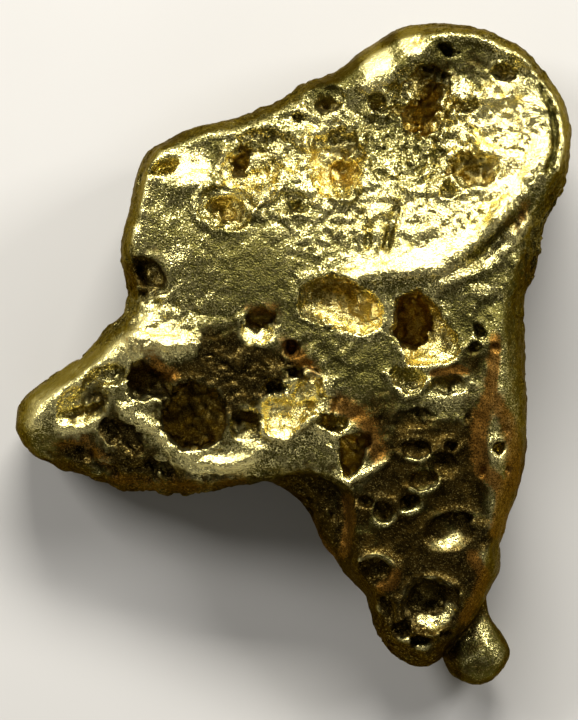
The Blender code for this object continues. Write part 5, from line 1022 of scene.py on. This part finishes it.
def spots_at(place, spots):
    """The spots' amounts at each point, each falling off with distance."""
    x, y, reach, amount = np.array(spots).T[:, :, None]
    return amount * np.exp(-((place[:, 0] - x) ** 2 + (place[:, 1] - y) ** 2) / (2 * reach ** 2))


def streaks_at(place, streaks):
    """The streaks' amounts at each point, the greatest of them, falling off to both sides."""
    x, y = place[:, 0], place[:, 1]
    return np.maximum.reduce([amount * np.exp(-(path_distance(x, y, path) / width) ** 2 / 2)
                              for width, amount, path in streaks])


def steepness(block, place):
    """From 0 where the uncut body is level to 1 where it stands upright."""
    slopes = np.gradient(block.uncut)
    rise = sampled(block, slopes[2], place)
    length = np.sqrt(sum(sampled(block, slope, place) ** 2 for slope in slopes))
    return 1 - np.clip(np.abs(rise) / np.maximum(length, 1e-6), 0, 1)


def store(mesh, name, values):
    """Keeps a value for each vertex on the mesh."""
    mesh.attributes.new(name, "FLOAT", "POINT").data.foreach_set("value", values.astype(np.float32))


def mark(mesh, block):
    """Keeps on the mesh what its gold finish goes by: its forms, where it is stained or rusty, and where it
    is brighter or darker as painted light and shade, partly from wear.
    """
    place = listed(mesh.vertices, "co", 3) / MM + np.array((*PLAN_CENTRE, 0.0))
    near, wide = convexity(mesh)
    store(mesh, "hollow", np.maximum(-sampled(block, block.uncut, place), 0))
    store(mesh, "crest", np.clip(near * CREST_WEIGHTS[0] + wide * CREST_WEIGHTS[1], -1, 1))
    store(mesh, "steep", steepness(block, place))
    rise = place[:, 2] - blended(place[:, 0], place[:, 1], WAIST_SPOTS, WAIST_REACH)
    face = np.clip(rise / FACE_BLEND, 0, 1)
    edge = np.clip(rise / FACE_BLEND + 1, 0, 1)
    # Painted highlights and painted shade are laid on the face only, and a painted highlight clears the stain
    # under it.
    painted_highlight = streaks_at(place, PAINTED_HIGHLIGHTS) * face
    stain = spots_at(place, STAINS).max(0) * edge + SIDE_STAIN * (1 - face)
    store(mesh, "stain", np.maximum(stain - painted_highlight * HIGHLIGHT_STAIN_CLEARING, 0))
    # The stored value is wear and painted highlight from the spots and highlights, less the painted shade.
    store(mesh, "worn_and_painted_light", spots_at(place, WORN_SHINE_AND_PAINTED_LIGHT).sum(0) * edge + painted_highlight - streaks_at(place, PAINTED_SHADES) * face)
    store(mesh, "rust", streaks_at(place, RUST) * edge)


def fine_nugget():
    """The nugget's surface with all its pits."""
    block = Block(CELL)
    scatter_pits(block)
    points, quads = block.surface()
    points[:, :2] -= PLAN_CENTRE
    whole = bpy.data.meshes.new("whole")
    whole.from_pydata((points * MM).tolist(), [], quads.tolist())
    full = bpy.data.objects.new("full", whole)
    bpy.context.scene.collection.objects.link(full)
    thin = full.modifiers.new("thin", "DECIMATE")
    thin.ratio = min(1.0, TRIANGLES / (2 * len(quads)))
    mesh = bpy.data.meshes.new_from_object(full.evaluated_get(bpy.context.evaluated_depsgraph_get()))
    bpy.data.objects.remove(full, do_unlink=True)
    bpy.data.meshes.remove(whole)
    mesh.name = "nugget_surface"
    mesh.shade_smooth()
    mark(mesh, block)
    mesh.materials.append(gold_finish())
    piece = bpy.data.objects.new("nugget_surface", mesh)
    bpy.context.scene.collection.objects.link(piece)
    return piece


def add_floor():
    """A wide pale floor under the nugget."""
    bpy.ops.mesh.primitive_plane_add(size=FLOOR_WIDTH * MM)
    floor = bpy.context.object
    floor.name = "floor"
    floor.data.materials.append(floor_finish())


def add_light(name, place, aim, size, power, colour):
    """A soft square light at a place, aimed at a point."""
    lamp = bpy.data.lights.new(name, "AREA")
    lamp.shape = "RECTANGLE"
    lamp.size, lamp.size_y = size[0] * MM, size[1] * MM
    lamp.energy = power
    lamp.color = colour
    holder = bpy.data.objects.new(name, lamp)
    holder.location = [c * MM for c in place]
    holder.rotation_euler = (Vector(aim) - Vector(place)).to_track_quat("-Z", "Y").to_euler()
    bpy.context.scene.collection.objects.link(holder)


def light_scene():
    """A soft light beyond the head, weaker ones to the left, the right and this side, and a dim surround."""
    world = bpy.data.worlds.new("surround")
    world.use_nodes = True
    background = world.node_tree.nodes["Background"]
    background.inputs["Color"].default_value = SURROUND_COLOUR
    background.inputs["Strength"].default_value = SURROUND_STRENGTH
    bpy.context.scene.world = world
    for light in LIGHTS:
        add_light(*light)


def add_camera():
    """Looks straight down at the pitted face, framed by pixels of a known size."""
    data = bpy.data.cameras.new("view")
    camera = bpy.data.objects.new("view", data)
    bpy.context.scene.collection.objects.link(camera)
    middle_x = (VIEW_CENTRE_PIXEL[0] - ORIGIN_PIXEL[0]) * PIXEL - PLAN_CENTRE[0]
    middle_y = (ORIGIN_PIXEL[1] - VIEW_CENTRE_PIXEL[1]) * PIXEL - PLAN_CENTRE[1]
    camera.location = (middle_x * MM, middle_y * MM, CAMERA_HEIGHT * MM)
    data.sensor_fit = "VERTICAL"
    data.sensor_height = SENSOR_HEIGHT
    data.lens = SENSOR_HEIGHT * (CAMERA_HEIGHT - VIEW_LEVEL) / (FRAME_PIXELS[1] * PIXEL)
    data.clip_start = CLIP_START * MM
    data.clip_end = CLIP_END * MM
    bpy.context.scene.camera = camera


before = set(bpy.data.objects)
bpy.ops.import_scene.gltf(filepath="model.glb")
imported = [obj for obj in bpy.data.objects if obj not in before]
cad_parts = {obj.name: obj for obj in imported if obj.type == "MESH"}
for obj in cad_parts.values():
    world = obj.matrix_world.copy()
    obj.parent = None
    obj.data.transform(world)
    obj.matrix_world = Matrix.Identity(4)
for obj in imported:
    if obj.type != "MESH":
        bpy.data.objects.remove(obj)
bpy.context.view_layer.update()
nugget = fine_nugget()
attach(nugget, "root")
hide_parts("nugget")
add_floor()
light_scene()
add_camera()
bpy.context.scene.view_settings.view_transform = "Standard"
